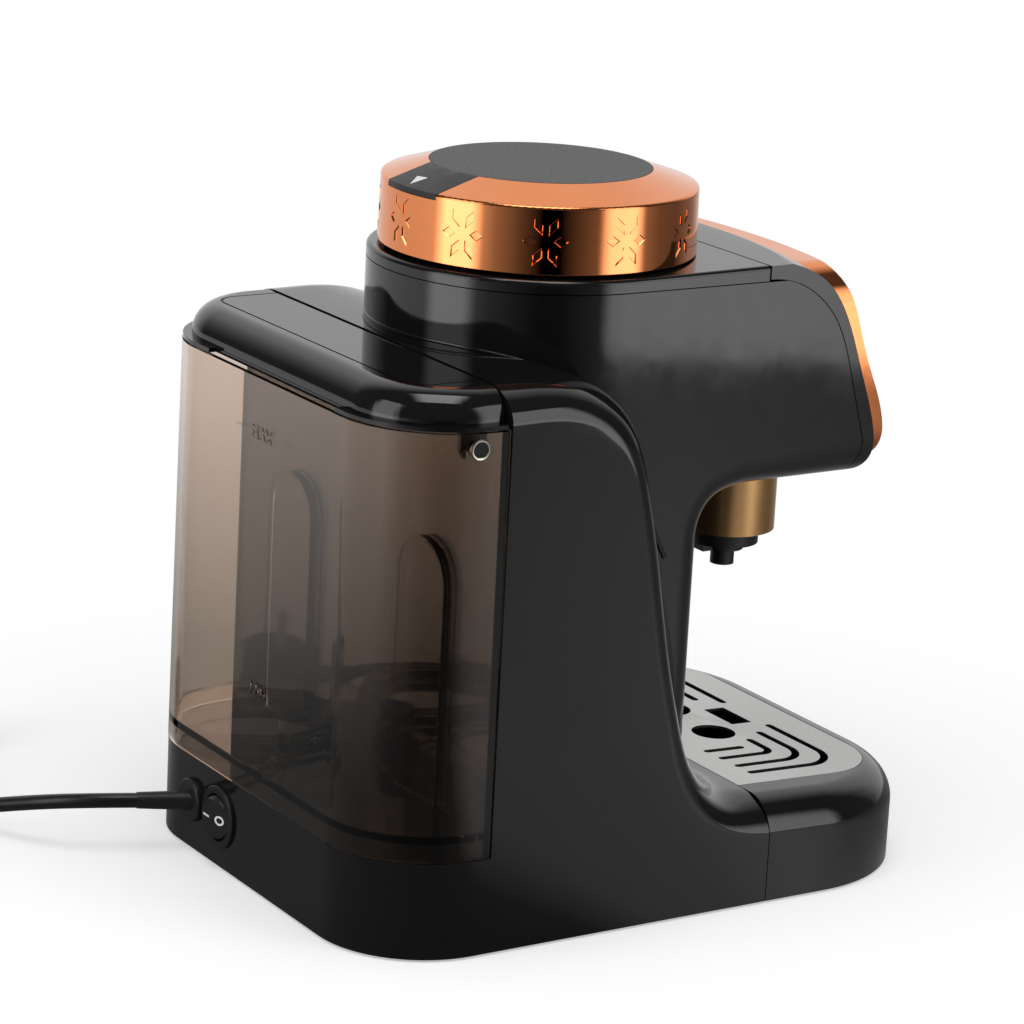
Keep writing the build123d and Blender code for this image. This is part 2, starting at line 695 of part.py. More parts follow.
with BuildPart() as heater_plate:
    with BuildSketch(Plane.XY.offset(CHAMBER_BOTTOM)):
        with Locations((0, TOWER_Y)):
            Circle(38)
    extrude(amount=-HEATER_T)
    with Locations((-14, TOWER_Y + 20, HEATER_LOW - 3), (14, TOWER_Y + 20, HEATER_LOW - 3)):
        Box(6, 0.8, 8)
save(heater_plate.part, "heater_plate")

with BuildPart() as thermostat:
    with BuildSketch(Plane.XY.offset(HEATER_LOW)):
        with Locations((0, TOWER_Y)):
            Circle(9)
    extrude(amount=-6)
    with Locations((-5, TOWER_Y, HEATER_LOW - 7), (5, TOWER_Y, HEATER_LOW - 7)):
        Box(0.8, 6, 4)
save(thermostat.part, "thermostat")

with BuildPart() as outlet_hose:
    with BuildSketch(Plane.XZ.offset(-TOWER_Y + CHAMBER_R + 3)):
        with Locations((0, OUTLET_Z)):
            Circle(HOSE_OUT)
            Circle(HOSE_IN, mode=Mode.SUBTRACT)
    extrude(amount=23)
save(outlet_hose.part, "outlet_hose")

VALVE_FRONT = -93.0
VALVE_REAR = -60.0
VALVE_BOTTOM = HEAD_UNDER + WALL + FIT
with BuildPart() as outlet_valve:
    with Locations((0, (VALVE_FRONT + VALVE_REAR) / 2, VALVE_BOTTOM)):
        Box(26, VALVE_REAR - VALVE_FRONT, 27, align=(Align.CENTER, Align.CENTER, Align.MIN))
    with Locations((0, VALVE_REAR, OUTLET_Z)):
        Cylinder(HOSE_IN - 0.1, 16, rotation=(90, 0, 0), align=(Align.CENTER, Align.CENTER, Align.CENTER))
    with BuildSketch(Plane.XY.offset(VALVE_BOTTOM)):
        with Locations((0, SPOUT_Y)):
            Circle(7.0)
    extrude(amount=-14)
    with BuildSketch(Plane.XY.offset(VALVE_BOTTOM - 14)):
        with Locations((0, SPOUT_Y)):
            Circle(3.0)
    extrude(amount=20, mode=Mode.SUBTRACT)
save(outlet_valve.part, "outlet_valve")

# ---------------------------------------------------------------- lid of the brew chamber, with its dial

LID_PLUG_R = 42.5
LID_FLANGE_R = 50.0
PLATE_LOW = 236.0
LID_SEAT = FLANGE_Z + FLANGE_T + 0.2
LID_PLATE_T = 1.8
GASKET_R = CHAMBER_R - CHAMBER_WALL - RUN
POST_TOP = 270.0

with BuildPart() as lid_plate:
    with BuildSketch(Plane.XY.offset(PLATE_LOW)):
        with Locations((0, TOWER_Y)):
            Circle(LID_PLUG_R)
    extrude(amount=LID_SEAT - PLATE_LOW)
    with BuildSketch(Plane.XY.offset(PLATE_LOW)):
        with Locations((0, TOWER_Y)):
            Circle(LID_PLUG_R - 2)
    extrude(amount=LID_SEAT - PLATE_LOW - 1.5, mode=Mode.SUBTRACT)
    with BuildSketch(Plane.XY.offset(LID_SEAT)):
        with Locations((0, TOWER_Y)):
            Circle(LID_FLANGE_R)
    extrude(amount=LID_PLATE_T)
    with BuildSketch(Plane.XY.offset(LID_SEAT + LID_PLATE_T)):
        with Locations((0, TOWER_Y)):
            Circle(POST_R)
    extrude(amount=POST_TOP - LID_SEAT - LID_PLATE_T)
save(lid_plate.part, "lid_plate")

with BuildPart() as lid_gasket:
    with BuildSketch(Plane.XY.offset(PLATE_LOW + 2)):
        with Locations((0, TOWER_Y)):
            Circle(GASKET_R)
            Circle(LID_PLUG_R, mode=Mode.SUBTRACT)
    extrude(amount=3)
save(lid_gasket.part, "lid_gasket")


def pointer_block(extra):
    """Straight block over the pointer's place, this much wider than the pointer."""
    angle = math.radians(POINTER_ANGLE)
    reach = Plane(
        origin=(0, TOWER_Y, RING_SHOULDER_Z - 6),
        x_dir=(math.cos(angle), math.sin(angle), 0), z_dir=(0, 0, 1)
    )
    with BuildPart() as block:
        with BuildSketch(reach):
            Rectangle(RING_R + 2, 2 * (POINTER_HALF + extra), align=(Align.MIN, Align.CENTER))
        extrude(amount=20)
    return block.part


def bevel_layer(down, rim_down=None):
    """Everything above the ring's bevel lowered by this much, or by another amount at the ring's rim."""
    if rim_down is None:
        rim_down = down
    with BuildPart() as layer:
        with BuildSketch(Plane.XZ):
            with BuildLine():
                Polyline(
                    (0, DISC_Z - down), (DISC_R, DISC_Z - down), (RING_SHOULDER_R, RING_SHOULDER_Z - rim_down),
                    (RING_R + 5, RING_SHOULDER_Z - rim_down), (RING_R + 5, DISC_Z + 5), (0, DISC_Z + 5),
                    close=True
                )
            make_face()
        revolve(axis=Axis.Z)
    return layer.part.moved(Location((0, TOWER_Y, 0)))


with BuildPart() as dial_ring:
    with BuildSketch(Plane.XZ):
        with BuildLine():
            Polyline(
                (RING_R, RING_Z), (RING_SHOULDER_R, RING_SHOULDER_Z), (DISC_R + RUN, DISC_Z - 0.1),
                (DISC_R + RUN, DISC_Z - DISC_T), (DISC_R - 4, DISC_Z - DISC_T),
                (DISC_R - 4, DISC_Z - DISC_T - 2.5),
                (DISC_R - 1, DISC_Z - DISC_T - 2.5), (RING_SHOULDER_R - RING_WALL, RING_SHOULDER_Z - 4.2),
                (RING_R - RING_WALL, RING_Z), close=True
            )
        make_face()
    revolve(axis=Axis.Z)
    for height, width, round_r in ((RING_SHOULDER_Z, RING_SHOULDER_R, RIM_ROUND), (RING_Z, RING_R, RIM_LOW_ROUND)):
        circles = dial_ring.edges().filter_by(GeomType.CIRCLE)
        fillet([e for e in circles if abs(e.center().Z - height) < 0.05 and abs(e.radius - width) < 0.05], round_r)
    add(dial_ring.part.moved(Location((0, TOWER_Y, 0))), mode=Mode.REPLACE)
    cutter = pointer_block(0.15).intersect(bevel_layer(POINTER_T + 0.15))
    add(cutter, mode=Mode.SUBTRACT)
save(dial_ring.part, "dial_ring")

with BuildPart() as dial_disc:
    add(pointer_block(0).intersect(bevel_layer(POINTER_T)))
    add(bevel_layer(0, -0.2), mode=Mode.SUBTRACT)
    with BuildSketch(Plane.XY.offset(DISC_Z - DISC_T)):
        with Locations((0, TOWER_Y)):
            Circle(DISC_R)
    extrude(amount=DISC_T)
    with BuildSketch(Plane.XY.offset(DISC_Z - DISC_T)):
        with Locations((0, TOWER_Y)):
            Circle(POST_R + 4)
    extrude(amount=-(DISC_Z - DISC_T - LID_SEAT - LID_PLATE_T - 0.4))
    with BuildSketch(Plane.XY.offset(LID_SEAT)):
        with Locations((0, TOWER_Y)):
            Circle(POST_R + RUN)
    extrude(amount=POST_TOP + 0.5 - LID_SEAT, mode=Mode.SUBTRACT)
    trim_r = RING_SHOULDER_R - 0.1
    with BuildSketch(Plane.XY.offset(RING_Z)):
        with Locations((0, TOWER_Y)):
            Circle(RING_R + 10)
            Circle(trim_r, mode=Mode.SUBTRACT)
    extrude(amount=40, mode=Mode.SUBTRACT)
save(dial_disc.part, "dial_disc")

# ---------------------------------------------------------------- spout

with BuildPart() as spout_sleeve:
    with BuildSketch(Plane.XY.offset(SLEEVE_Z)):
        with Locations((0, SPOUT_Y)):
            Circle(SLEEVE_R)
            Circle(SLEEVE_R - SLEEVE_T, mode=Mode.SUBTRACT)
    extrude(amount=HEAD_UNDER - SLEEVE_Z)
save(spout_sleeve.part, "spout_sleeve")

with BuildPart() as spout_holder:
    with BuildSketch(Plane.XY.offset(SLEEVE_Z)):
        with Locations((0, SPOUT_Y)):
            Circle(SLEEVE_R - SLEEVE_T - 0.1)
            Circle(SLEEVE_R - SLEEVE_T - 2.4, mode=Mode.SUBTRACT)
    extrude(amount=HEAD_UNDER - SLEEVE_Z)
    with BuildSketch(Plane.XY.offset(SLEEVE_Z)):
        with Locations((0, SPOUT_Y)):
            Circle(SLEEVE_R - SLEEVE_T - 1)
    extrude(amount=3)
    with BuildSketch(Plane.XY.offset(PLATE_Z)):
        with Locations((0, SPOUT_Y)):
            Circle(PLATE_R)
    extrude(amount=SLEEVE_Z - PLATE_Z)
    with BuildSketch(Plane.XY.offset(PLATE_Z)):
        with Locations((0, SPOUT_Y)):
            Circle(TIP_R + RUN)
    extrude(amount=12, mode=Mode.SUBTRACT)
save(spout_holder.part, "spout_holder")

with BuildPart() as spout_nozzle:
    with BuildSketch(Plane.XY.offset(TIP_Z)):
        with Locations((0, SPOUT_Y)):
            Circle(TIP_R)
    extrude(amount=SLEEVE_Z + 8 - TIP_Z)
    with BuildSketch(Plane.XY.offset(NOZZLE_Z)):
        with Locations((0, SPOUT_Y)):
            Circle(NOZZLE_R)
        with Locations((0, SPOUT_Y + NOZZLE_R)):
            Rectangle(7, 8)
    extrude(amount=PLATE_Z - NOZZLE_Z)
    with BuildSketch(Plane.XY.offset(TIP_Z)):
        with Locations((0, SPOUT_Y)):
            Circle(3.0)
    extrude(amount=40, mode=Mode.SUBTRACT)
save(spout_nozzle.part, "spout_nozzle")

with BuildPart() as spout_pipe:
    with BuildSketch(Plane.XY.offset(SLEEVE_Z + 8.2)):
        with Locations((0, SPOUT_Y)):
            Circle(4.6)
            Circle(3.0, mode=Mode.SUBTRACT)
    extrude(amount=VALVE_BOTTOM - 14 - SLEEVE_Z - 8.4)
save(spout_pipe.part, "spout_pipe")

# ---------------------------------------------------------------- drip tray and grille

slope = math.radians(TRAY_SLOPE)
TRAY_TOP = Plane(
    origin=(0, SEAM_Y - SEAM, TRAY_SEAM_Z), x_dir=(1, 0, 0), z_dir=(0, -math.sin(slope), math.cos(slope))
)
GRILLE_LONG = SEAM_Y - SEAM - GRILLE_FRONT
BASIN_RIM = 3.5                     # ledge under the grille's edge
UNDER_HOLLOW = 23.0
TRAY_FEET = [(-50, -112), (50, -112)]


def grille_plan(extra):
    """Outline of the grille in the tray's top plane, this much larger; goes inside a BuildLine."""
    half = GRILLE_HALF + extra
    front = -GRILLE_LONG - extra
    corner = GRILLE_CORNER + extra
    Line((-half, 0), (half, 0))
    Line((half, 0), (half, front + corner))
    RadiusArc((half, front + corner), (half - corner, front), corner)
    Line((half - corner, front), (-half + corner, front))
    RadiusArc((-half + corner, front), (-half, front + corner), corner)
    Line((-half, front + corner), (-half, 0))


with BuildPart() as drip_tray:
    with BuildSketch(Plane.XY.offset(FOOT_HEIGHT)):
        with BuildLine():
            tray_plan(0.0, SEAM_Y - SEAM)
        make_face()
    extrude(amount=TRAY_SEAM_Z + 3 - FOOT_HEIGHT)
    with BuildSketch(TRAY_TOP):
        Rectangle(300, 300)
    extrude(amount=20, mode=Mode.SUBTRACT)
    rim = drip_tray.faces().sort_by(Axis.Z)[-1].edges().filter_by(lambda e: (e @ 0.5).Y < SEAM_Y - 1)
    fillet(rim, TRAY_SHOULDER)
    # hollow underside, then the basin, the sheaths of the tongues and the bosses of the feet
    with BuildSketch(Plane.XY.offset(FOOT_HEIGHT)):
        with BuildLine():
            tray_plan(WALL, SEAM_Y - SEAM - WALL)
        make_face()
    extrude(amount=UNDER_HOLLOW, mode=Mode.SUBTRACT)
    with BuildSketch(TRAY_TOP):
        with BuildLine():
            grille_plan(WALL - BASIN_RIM)
        make_face()
        with Locations((0, -1)):
            Rectangle(300, 40, align=(Align.CENTER, Align.MIN), mode=Mode.SUBTRACT)
    extrude(amount=-BASIN_DEPTH - WALL)
    with BuildSketch(Plane.XY.offset(FOOT_HEIGHT)):
        with Locations((-TONGUE_X, SEAM_Y - SEAM), (TONGUE_X, SEAM_Y - SEAM)):
            Rectangle(TONGUE_W + 2 * WALL, TONGUE_LONG + 16, align=(Align.CENTER, Align.MAX))
        with Locations(*TRAY_FEET):
            Circle(8)
    extrude(amount=10.5)
    with BuildSketch(TRAY_TOP):
        with BuildLine():
            grille_plan(FIT)
        make_face()
    extrude(amount=-GRILLE_T - 0.1, mode=Mode.SUBTRACT)
    with BuildSketch(TRAY_TOP):
        with BuildLine():
            grille_plan(-BASIN_RIM)
        make_face()
        with Locations((0, -5)):
            Rectangle(300, 40, align=(Align.CENTER, Align.MIN), mode=Mode.SUBTRACT)
    extrude(amount=-BASIN_DEPTH, mode=Mode.SUBTRACT)
    with Locations((-TONGUE_X, SEAM_Y, TONGUE_Z), (TONGUE_X, SEAM_Y, TONGUE_Z)):
        Box(TONGUE_W + 1, 2 * (TONGUE_LONG + 12), TONGUE_T + 1, mode=Mode.SUBTRACT)
save(drip_tray.part, "drip_tray")

# slots of the grille as centre lines in its own plane, right half: (x, y from the rear edge)
SLOTS = [
    ([(16.8, -58.1), (64.8, -58.4), (64.9, -14.7)], 15.0),
    ([(23.7, -48.5), (56.1, -48.9), (56.3, -14.5)], 12.0),
    ([(30.4, -38.7), (46.2, -38.7), (46.2, -13.8)], 5.0),
]
SHORT_SLOT = [(36.9, -29.2), (36.7, -13.1)]
VENT = (20.6, 9.9, -48.8)           # width, length, place of the oblong hole
FINGER_X = 16.2
FINGER_Y = -30.3
FINGER_R = 9.1

with BuildPart() as drip_grille:
    with BuildSketch(TRAY_TOP):
        with BuildLine():
            grille_plan(0)
        make_face()
    extrude(amount=-GRILLE_T)
    with BuildSketch(TRAY_TOP):
        for side in (-1, 1):
            for path, corner in SLOTS:
                with BuildLine():
                    line = FilletPolyline(*[(side * x, y) for x, y in path], radius=corner)
                trace(line, line_width=SLOT_WIDTH)
                with Locations(line @ 0, line @ 1):
                    Circle(SLOT_WIDTH / 2)
            with BuildLine():
                line = Line(*[(side * x, y) for x, y in SHORT_SLOT])
            trace(line, line_width=SLOT_WIDTH)
            with Locations(line @ 0, line @ 1):
                Circle(SLOT_WIDTH / 2)
            with Locations((side * FINGER_X, FINGER_Y)):
                Circle(FINGER_R)
        with Locations((0, VENT[2])):
            Rectangle(VENT[0], VENT[1])
    extrude(amount=-GRILLE_T, mode=Mode.SUBTRACT)
save(drip_grille.part, "drip_grille")

with BuildPart() as tray_feet:
    with BuildSketch():
        with Locations(*TRAY_FEET):
            Circle(7)
    extrude(amount=FOOT_HEIGHT)
save(tray_feet.part, "tray_feet")

# ---------------------------------------------------------------- water tank

TANK_BOTTOM = SEAT_Z + FIT
TANK_FRONT = TANK_WALL_Y + 0.6
TANK_DRAFT = 0.4
TANK_FLOOR_T = 3.0
CHANNEL = RIB_HALF + 0.5
TANK_TOP_HALF = TANK_HALF + 0.6 - (TANK_TOP - TANK_BOTTOM) * math.tan(math.radians(TANK_DRAFT))
BOSS_R = 4.1
VALVE_R = 8.8
VALVE_LOW = 41.0


def tank_block(inset, low, high):
    """Drafted block of the tank's outline, this far inside its outer wall."""
    drop = (low - TANK_BOTTOM) * math.tan(math.radians(TANK_DRAFT))
    with BuildPart() as block:
        with BuildSketch(Plane.XY.offset(low)):
            with BuildLine():
                rounded_plan(
                    TANK_HALF + 0.6 - inset - drop, TANK_FRONT - 20, TANK_REAR - inset - drop,
                    TANK_CORNER - inset - drop
                )
            make_face()
        extrude(amount=high - low, taper=TANK_DRAFT)
        with Locations((0, TANK_FRONT + inset, low - 1)):
            Box(300, 100, 300, align=(Align.CENTER, Align.MAX, Align.MIN), mode=Mode.SUBTRACT)
    return block.part


with BuildPart() as water_tank:
    add(tank_block(0, TANK_BOTTOM, TANK_TOP))
    add(tank_block(TANK_WALL, TANK_FLOOR_Z + TANK_FLOOR_T, TANK_TOP + 5), mode=Mode.SUBTRACT)
    add(tank_block(TANK_WALL, TANK_BOTTOM - 1, TANK_FLOOR_Z), mode=Mode.SUBTRACT)
    # channels that slide over the body's ribs
    run = RIB_TOP - RIB_HALF - TANK_BOTTOM
    with BuildSketch(Plane.XZ.offset(-TANK_FRONT)):
        for x in (-RIB_X, RIB_X):
            with Locations((x, RIB_TOP - RIB_HALF)):
                Circle(CHANNEL + TANK_WALL)
            with Locations((x, TANK_BOTTOM)):
                Rectangle(2 * (CHANNEL + TANK_WALL), run, align=(Align.CENTER, Align.MIN))
    extrude(amount=-RIB_DEPTH - TANK_WALL)
    with BuildSketch(Plane.XZ.offset(-TANK_FRONT)):
        for x in (-RIB_X, RIB_X):
            with Locations((x, RIB_TOP - RIB_HALF)):
                Circle(CHANNEL)
            with Locations((x, TANK_BOTTOM - 1)):
                Rectangle(2 * CHANNEL, run + 1, align=(Align.CENTER, Align.MIN))
    extrude(amount=-RIB_DEPTH, mode=Mode.SUBTRACT)
    # bosses of the lid's pivots
    with BuildSketch(Plane.YZ.offset(-TANK_TOP_HALF - 0.6)):
        with Locations((PIVOT_Y, PIVOT_Z)):
            Circle(BOSS_R)
    extrude(amount=3.4)
    with BuildSketch(Plane.YZ.offset(TANK_TOP_HALF + 0.6)):
        with Locations((PIVOT_Y, PIVOT_Z)):
            Circle(BOSS_R)
    extrude(amount=-3.4)
    with BuildSketch(Plane.YZ):
        with Locations((PIVOT_Y, PIVOT_Z)):
            Circle(PIVOT_R)
    extrude(amount=120, both=True, mode=Mode.SUBTRACT)
    with BuildSketch(Plane.XY.offset(TANK_FLOOR_Z - 2)):
        with Locations((0, DOCK_Y)):
            Circle(VALVE_R + 0.1)
    extrude(amount=10, mode=Mode.SUBTRACT)
save(water_tank.part, "water_tank")

with BuildPart() as lid_pivot_pins:
    with BuildSketch(Plane.YZ.offset(-TANK_TOP_HALF - 0.9)):
        with Locations((PIVOT_Y, PIVOT_Z)):
            Circle(PIVOT_R - 0.05)
    extrude(amount=6.4)
    with BuildSketch(Plane.YZ.offset(TANK_TOP_HALF + 0.9)):
        with Locations((PIVOT_Y, PIVOT_Z)):
            Circle(PIVOT_R - 0.05)
    extrude(amount=-6.4)
save(lid_pivot_pins.part, "lid_pivot_pins")

LID_HALF = TANK_TOP_HALF - LID_INSET
LID_REAR = TANK_REAR - 1.2 - LID_INSET
LID_ROLL = 11.4
LIP_T = 1.6
EAR_X = TANK_TOP_HALF - 5.0
GROOVE_HALF = 77.0
GROOVE_REAR = 112.5

with BuildPart() as tank_lid:
    with BuildSketch(Plane.XY.offset(LID_Z)):
        with BuildLine():
            rounded_plan(LID_HALF, TANK_FRONT - 20, LID_REAR, TANK_CORNER - 1.2 - LID_INSET)
        make_face()
    extrude(amount=LID_TOP - LID_Z)
    rim = tank_lid.faces().sort_by(Axis.Z)[-1].edges().filter_by(lambda e: (e @ 0.5).Y > TANK_FRONT)
    fillet(rim, LID_ROLL)
    with Locations((0, TANK_FRONT, 150)):
        Box(300, 60, 100, align=(Align.CENTER, Align.MAX, Align.MIN), mode=Mode.SUBTRACT)
    with BuildSketch(Plane.XY.offset(LID_Z)):
        with BuildLine():
            rounded_plan(LID_HALF - 14, TANK_FRONT + 2.5, LID_REAR - 14, TANK_CORNER - 19)
        make_face()
    extrude(amount=LID_TOP - LID_Z - 2.5, mode=Mode.SUBTRACT)
    # lip over the tank's rim, with a finger notch at the rear
    with BuildSketch(Plane.XY.offset(LID_Z)):
        with BuildLine():
            rounded_plan(TANK_TOP_HALF - 0.2, TANK_FRONT, TANK_REAR - 1.4, TANK_CORNER - 1.4)
        make_face()
        with Locations((-3, TANK_REAR)):
            Rectangle(98, 9, mode=Mode.SUBTRACT)
        with BuildLine():
            rounded_plan(LID_HALF - 16, TANK_FRONT + 6, LID_REAR - 16, TANK_CORNER - 21)
        make_face(mode=Mode.SUBTRACT)
    extrude(amount=-LIP_T)
    # ears that snap down over the pivots
    with BuildSketch(Plane.YZ.offset(-EAR_X)):
        with Locations((PIVOT_Y, PIVOT_Z)):
            Circle(5.4)
        with Locations((PIVOT_Y, PIVOT_Z)):
            Rectangle(10.8, LID_Z - LIP_T - PIVOT_Z, align=(Align.CENTER, Align.MIN))
        with Locations((PIVOT_Y, PIVOT_Z)):
            Circle(PIVOT_R + RUN, mode=Mode.SUBTRACT)
        with Locations((PIVOT_Y, PIVOT_Z)):
            Rectangle(2 * (PIVOT_R + RUN), 10, align=(Align.CENTER, Align.MAX), mode=Mode.SUBTRACT)
    extrude(amount=2)
    with BuildSketch(Plane.YZ.offset(EAR_X)):
        with Locations((PIVOT_Y, PIVOT_Z)):
            Circle(5.4)
        with Locations((PIVOT_Y, PIVOT_Z)):
            Rectangle(10.8, LID_Z - LIP_T - PIVOT_Z, align=(Align.CENTER, Align.MIN))
        with Locations((PIVOT_Y, PIVOT_Z)):
            Circle(PIVOT_R + RUN, mode=Mode.SUBTRACT)
        with Locations((PIVOT_Y, PIVOT_Z)):
            Rectangle(2 * (PIVOT_R + RUN), 10, align=(Align.CENTER, Align.MAX), mode=Mode.SUBTRACT)
    extrude(amount=-2)
    # groove round the flat panel
    with BuildSketch(Plane.XY.offset(LID_TOP)):
        with BuildLine():
            groove = FilletPolyline(
                (-GROOVE_HALF, TANK_FRONT - 1), (-GROOVE_HALF, GROOVE_REAR), (GROOVE_HALF, GROOVE_REAR),
                (GROOVE_HALF, TANK_FRONT - 1), radius=9
            )
        trace(groove, line_width=0.9)
    extrude(amount=-0.7, mode=Mode.SUBTRACT)
save(tank_lid.part, "tank_lid")

TANK_FLOOR_TOP = TANK_FLOOR_Z + TANK_FLOOR_T
SEAL_T = 1.0
VALVE_FLANGE = TANK_FLOOR_TOP + SEAL_T
CAGE_LOW = VALVE_FLANGE + 2
CAGE_TOP = CAGE_LOW + 14
CAGE_ROOF = 1.5
STEM_R = 2.0
PLUNGER_TOP = CAGE_LOW + 1.8
WIRE_R = 0.4

with BuildPart() as tank_valve_body:
    with BuildSketch(Plane.XY.offset(VALVE_LOW)):
        with Locations((0, DOCK_Y)):
            Circle(VALVE_R)
    extrude(amount=VALVE_FLANGE - VALVE_LOW)
    with BuildSketch(Plane.XY.offset(VALVE_FLANGE)):
        with Locations((0, DOCK_Y)):
            Circle(VALVE_R + 3.5)
    extrude(amount=2)
    with BuildSketch(Plane.XY.offset(VALVE_LOW)):
        with Locations((0, DOCK_Y)):
            Circle(4.8)
    extrude(amount=40, mode=Mode.SUBTRACT)
    # web that guides the plunger's stem
    with BuildSketch(Plane.XY.offset(VALVE_LOW + 3)):
        with Locations((0, DOCK_Y)):
            Rectangle(10, 2)
            Circle(STEM_R + 1.2)
            Circle(STEM_R + RUN, mode=Mode.SUBTRACT)
    extrude(amount=3)
save(tank_valve_body.part, "tank_valve_body")

with BuildPart() as tank_valve_seal:
    with BuildSketch(Plane.XY.offset(TANK_FLOOR_TOP)):
        with Locations((0, DOCK_Y)):
            Circle(VALVE_R + 3.5)
            Circle(VALVE_R + 0.2, mode=Mode.SUBTRACT)
    extrude(amount=SEAL_T)
save(tank_valve_seal.part, "tank_valve_seal")

with BuildPart() as tank_valve_cage:
    with BuildSketch(Plane.XY.offset(CAGE_LOW)):
        with Locations((0, DOCK_Y)):
            Circle(VALVE_R + 1)
            Circle(VALVE_R - 0.8, mode=Mode.SUBTRACT)
    extrude(amount=CAGE_TOP - CAGE_LOW)
    with BuildSketch(Plane.XY.offset(CAGE_TOP - CAGE_ROOF)):
        with Locations((0, DOCK_Y)):
            Circle(VALVE_R + 1)
            Circle(STEM_R + 1, mode=Mode.SUBTRACT)
    extrude(amount=CAGE_ROOF)
    with Locations((0, DOCK_Y, CAGE_LOW + 2)):
        Box(9, 40, 8, align=(Align.CENTER, Align.CENTER, Align.MIN), mode=Mode.SUBTRACT)
        Box(40, 9, 8, align=(Align.CENTER, Align.CENTER, Align.MIN), mode=Mode.SUBTRACT)
save(tank_valve_cage.part, "tank_valve_cage")

with BuildPart() as tank_valve_plunger:
    with BuildSketch(Plane.XY.offset(CAGE_LOW)):
        with Locations((0, DOCK_Y)):
            Circle(6.6)
    extrude(amount=PLUNGER_TOP - CAGE_LOW)
    with BuildSketch(Plane.XY.offset(VALVE_LOW + 0.4)):
        with Locations((0, DOCK_Y)):
            Circle(STEM_R)
    extrude(amount=CAGE_LOW - VALVE_LOW)
save(tank_valve_plunger.part, "tank_valve_plunger")

with BuildPart() as tank_valve_spring:
    with BuildLine():
        coil_line = Helix(
            pitch=2.1, height=CAGE_TOP - CAGE_ROOF - PLUNGER_TOP - 2 * WIRE_R - 0.6,
            radius=4.6, center=(0, DOCK_Y, PLUNGER_TOP + WIRE_R + 0.3)
        )
    with BuildSketch(Plane(origin=coil_line @ 0, z_dir=coil_line % 0)):
        Circle(WIRE_R)
    sweep(path=coil_line)
save(tank_valve_spring.part, "tank_valve_spring")

with BuildPart() as tank_dock:
    with BuildSketch(Plane.XY.offset(SEAT_Z - 18)):
        with Locations((0, DOCK_Y)):
            Circle(DOCK_R)
    extrude(amount=17.8)
    with BuildSketch(Plane.XY.offset(SEAT_Z - WALL - 1.2)):
        with Locations((0, DOCK_Y)):
            Circle(DOCK_R + 3)
    extrude(amount=1.2)
    with BuildSketch(Plane.YZ.offset(-DOCK_R + 2)):
        with Locations((DOCK_Y, SEAT_Z - 12.8)):
            Circle(HOSE_IN - 0.1)
    extrude(amount=-12)
    with BuildSketch(Plane.XY.offset(SEAT_Z - 14)):
        with Locations((0, DOCK_Y)):
            Circle(DOCK_R - 1.8)
    extrude(amount=20, mode=Mode.SUBTRACT)
    # fixed pin that opens the tank's valve
    with BuildSketch(Plane.XY.offset(SEAT_Z - 14)):
        with Locations((0, DOCK_Y)):
            Circle(1.6)
    extrude(amount=VALVE_LOW + 0.1 - SEAT_Z + 14)
save(tank_dock.part, "tank_dock")

# ---------------------------------------------------------------- pump, hoses and power board

PUMP_X = FILL_X
PUMP_REAR = 76.0
PUMP_FRONT = 20.0
PUMP_R = 15.0
PUMP_Z = COVER_UP + 6 + 3 + PUMP_R

with BuildPart() as water_pump:
    with BuildSketch(Plane.XZ.offset(-PUMP_FRONT)):
        with Locations((PUMP_X, PUMP_Z)):
            Circle(PUMP_R)
    extrude(amount=-(PUMP_REAR - PUMP_FRONT))
    with BuildSketch(Plane.XZ.offset(-PUMP_FRONT + 6)):
        with Locations((PUMP_X, PUMP_Z)):
            Circle(HOSE_IN - 0.1)
    extrude(amount=-(PUMP_REAR - PUMP_FRONT + 12))
    with Locations((PUMP_X, 47, PUMP_Z)):
        Box(27, 22, 27)
save(water_pump.part, "water_pump")

with BuildPart() as pump_mounts:
    with Locations((PUMP_X, 28, COVER_UP + 6), (PUMP_X, 66, COVER_UP + 6)):
        Box(24, 6, 10, align=(Align.CENTER, Align.CENTER, Align.MIN))
    with BuildSketch(Plane.XZ.offset(-10)):
        with Locations((PUMP_X, PUMP_Z)):
            Circle(PUMP_R)
    extrude(amount=-70, mode=Mode.SUBTRACT)
save(pump_mounts.part, "pump_mounts")


def hose(points, radius, name):
    """Soft tube along straight runs with round bends."""
    with BuildPart() as tube:
        with BuildLine():
            path = FilletPolyline(*points, radius=radius)
        with BuildSketch(Plane(origin=path @ 0, z_dir=path % 0)):
            Circle(HOSE_OUT)
            Circle(HOSE_IN, mode=Mode.SUBTRACT)
        sweep(path=path)
    save(tube.part, name)


DOCK_SPIGOT = SEAT_Z - 12.8
hose(
    [(-DOCK_R - 1, DOCK_Y, DOCK_SPIGOT), (PUMP_X + 20, DOCK_Y, DOCK_SPIGOT), (PUMP_X, PUMP_REAR + 14, PUMP_Z),
     (PUMP_X, PUMP_REAR + 1, PUMP_Z)],
    [12, 8], "inlet_hose"
)
hose(
    [(FILL_X, PUMP_FRONT - 1, PUMP_Z), (FILL_X, FILL_Y, PUMP_Z), (FILL_X, FILL_Y, FILL_Z - 1)], 11,
    "delivery_hose"
)

BOARD_Z = COVER_UP + 6
with BuildPart() as power_board:
    with Locations((50, 30, BOARD_Z)):
        Box(70, 68, 1.6, align=(Align.CENTER, Align.CENTER, Align.MIN))
    with Locations((34, 44, BOARD_Z + 1.6)):
        Box(19, 15, 15, align=(Align.CENTER, Align.CENTER, Align.MIN))
    with Locations((64, 24, BOARD_Z + 1.6)):
        Box(26, 20, 14, align=(Align.CENTER, Align.CENTER, Align.MIN))
    with Locations((66, 48, BOARD_Z + 1.6)):
        Cylinder(6, 18, align=(Align.CENTER, Align.CENTER, Align.MIN))
save(power_board.part, "power_board")

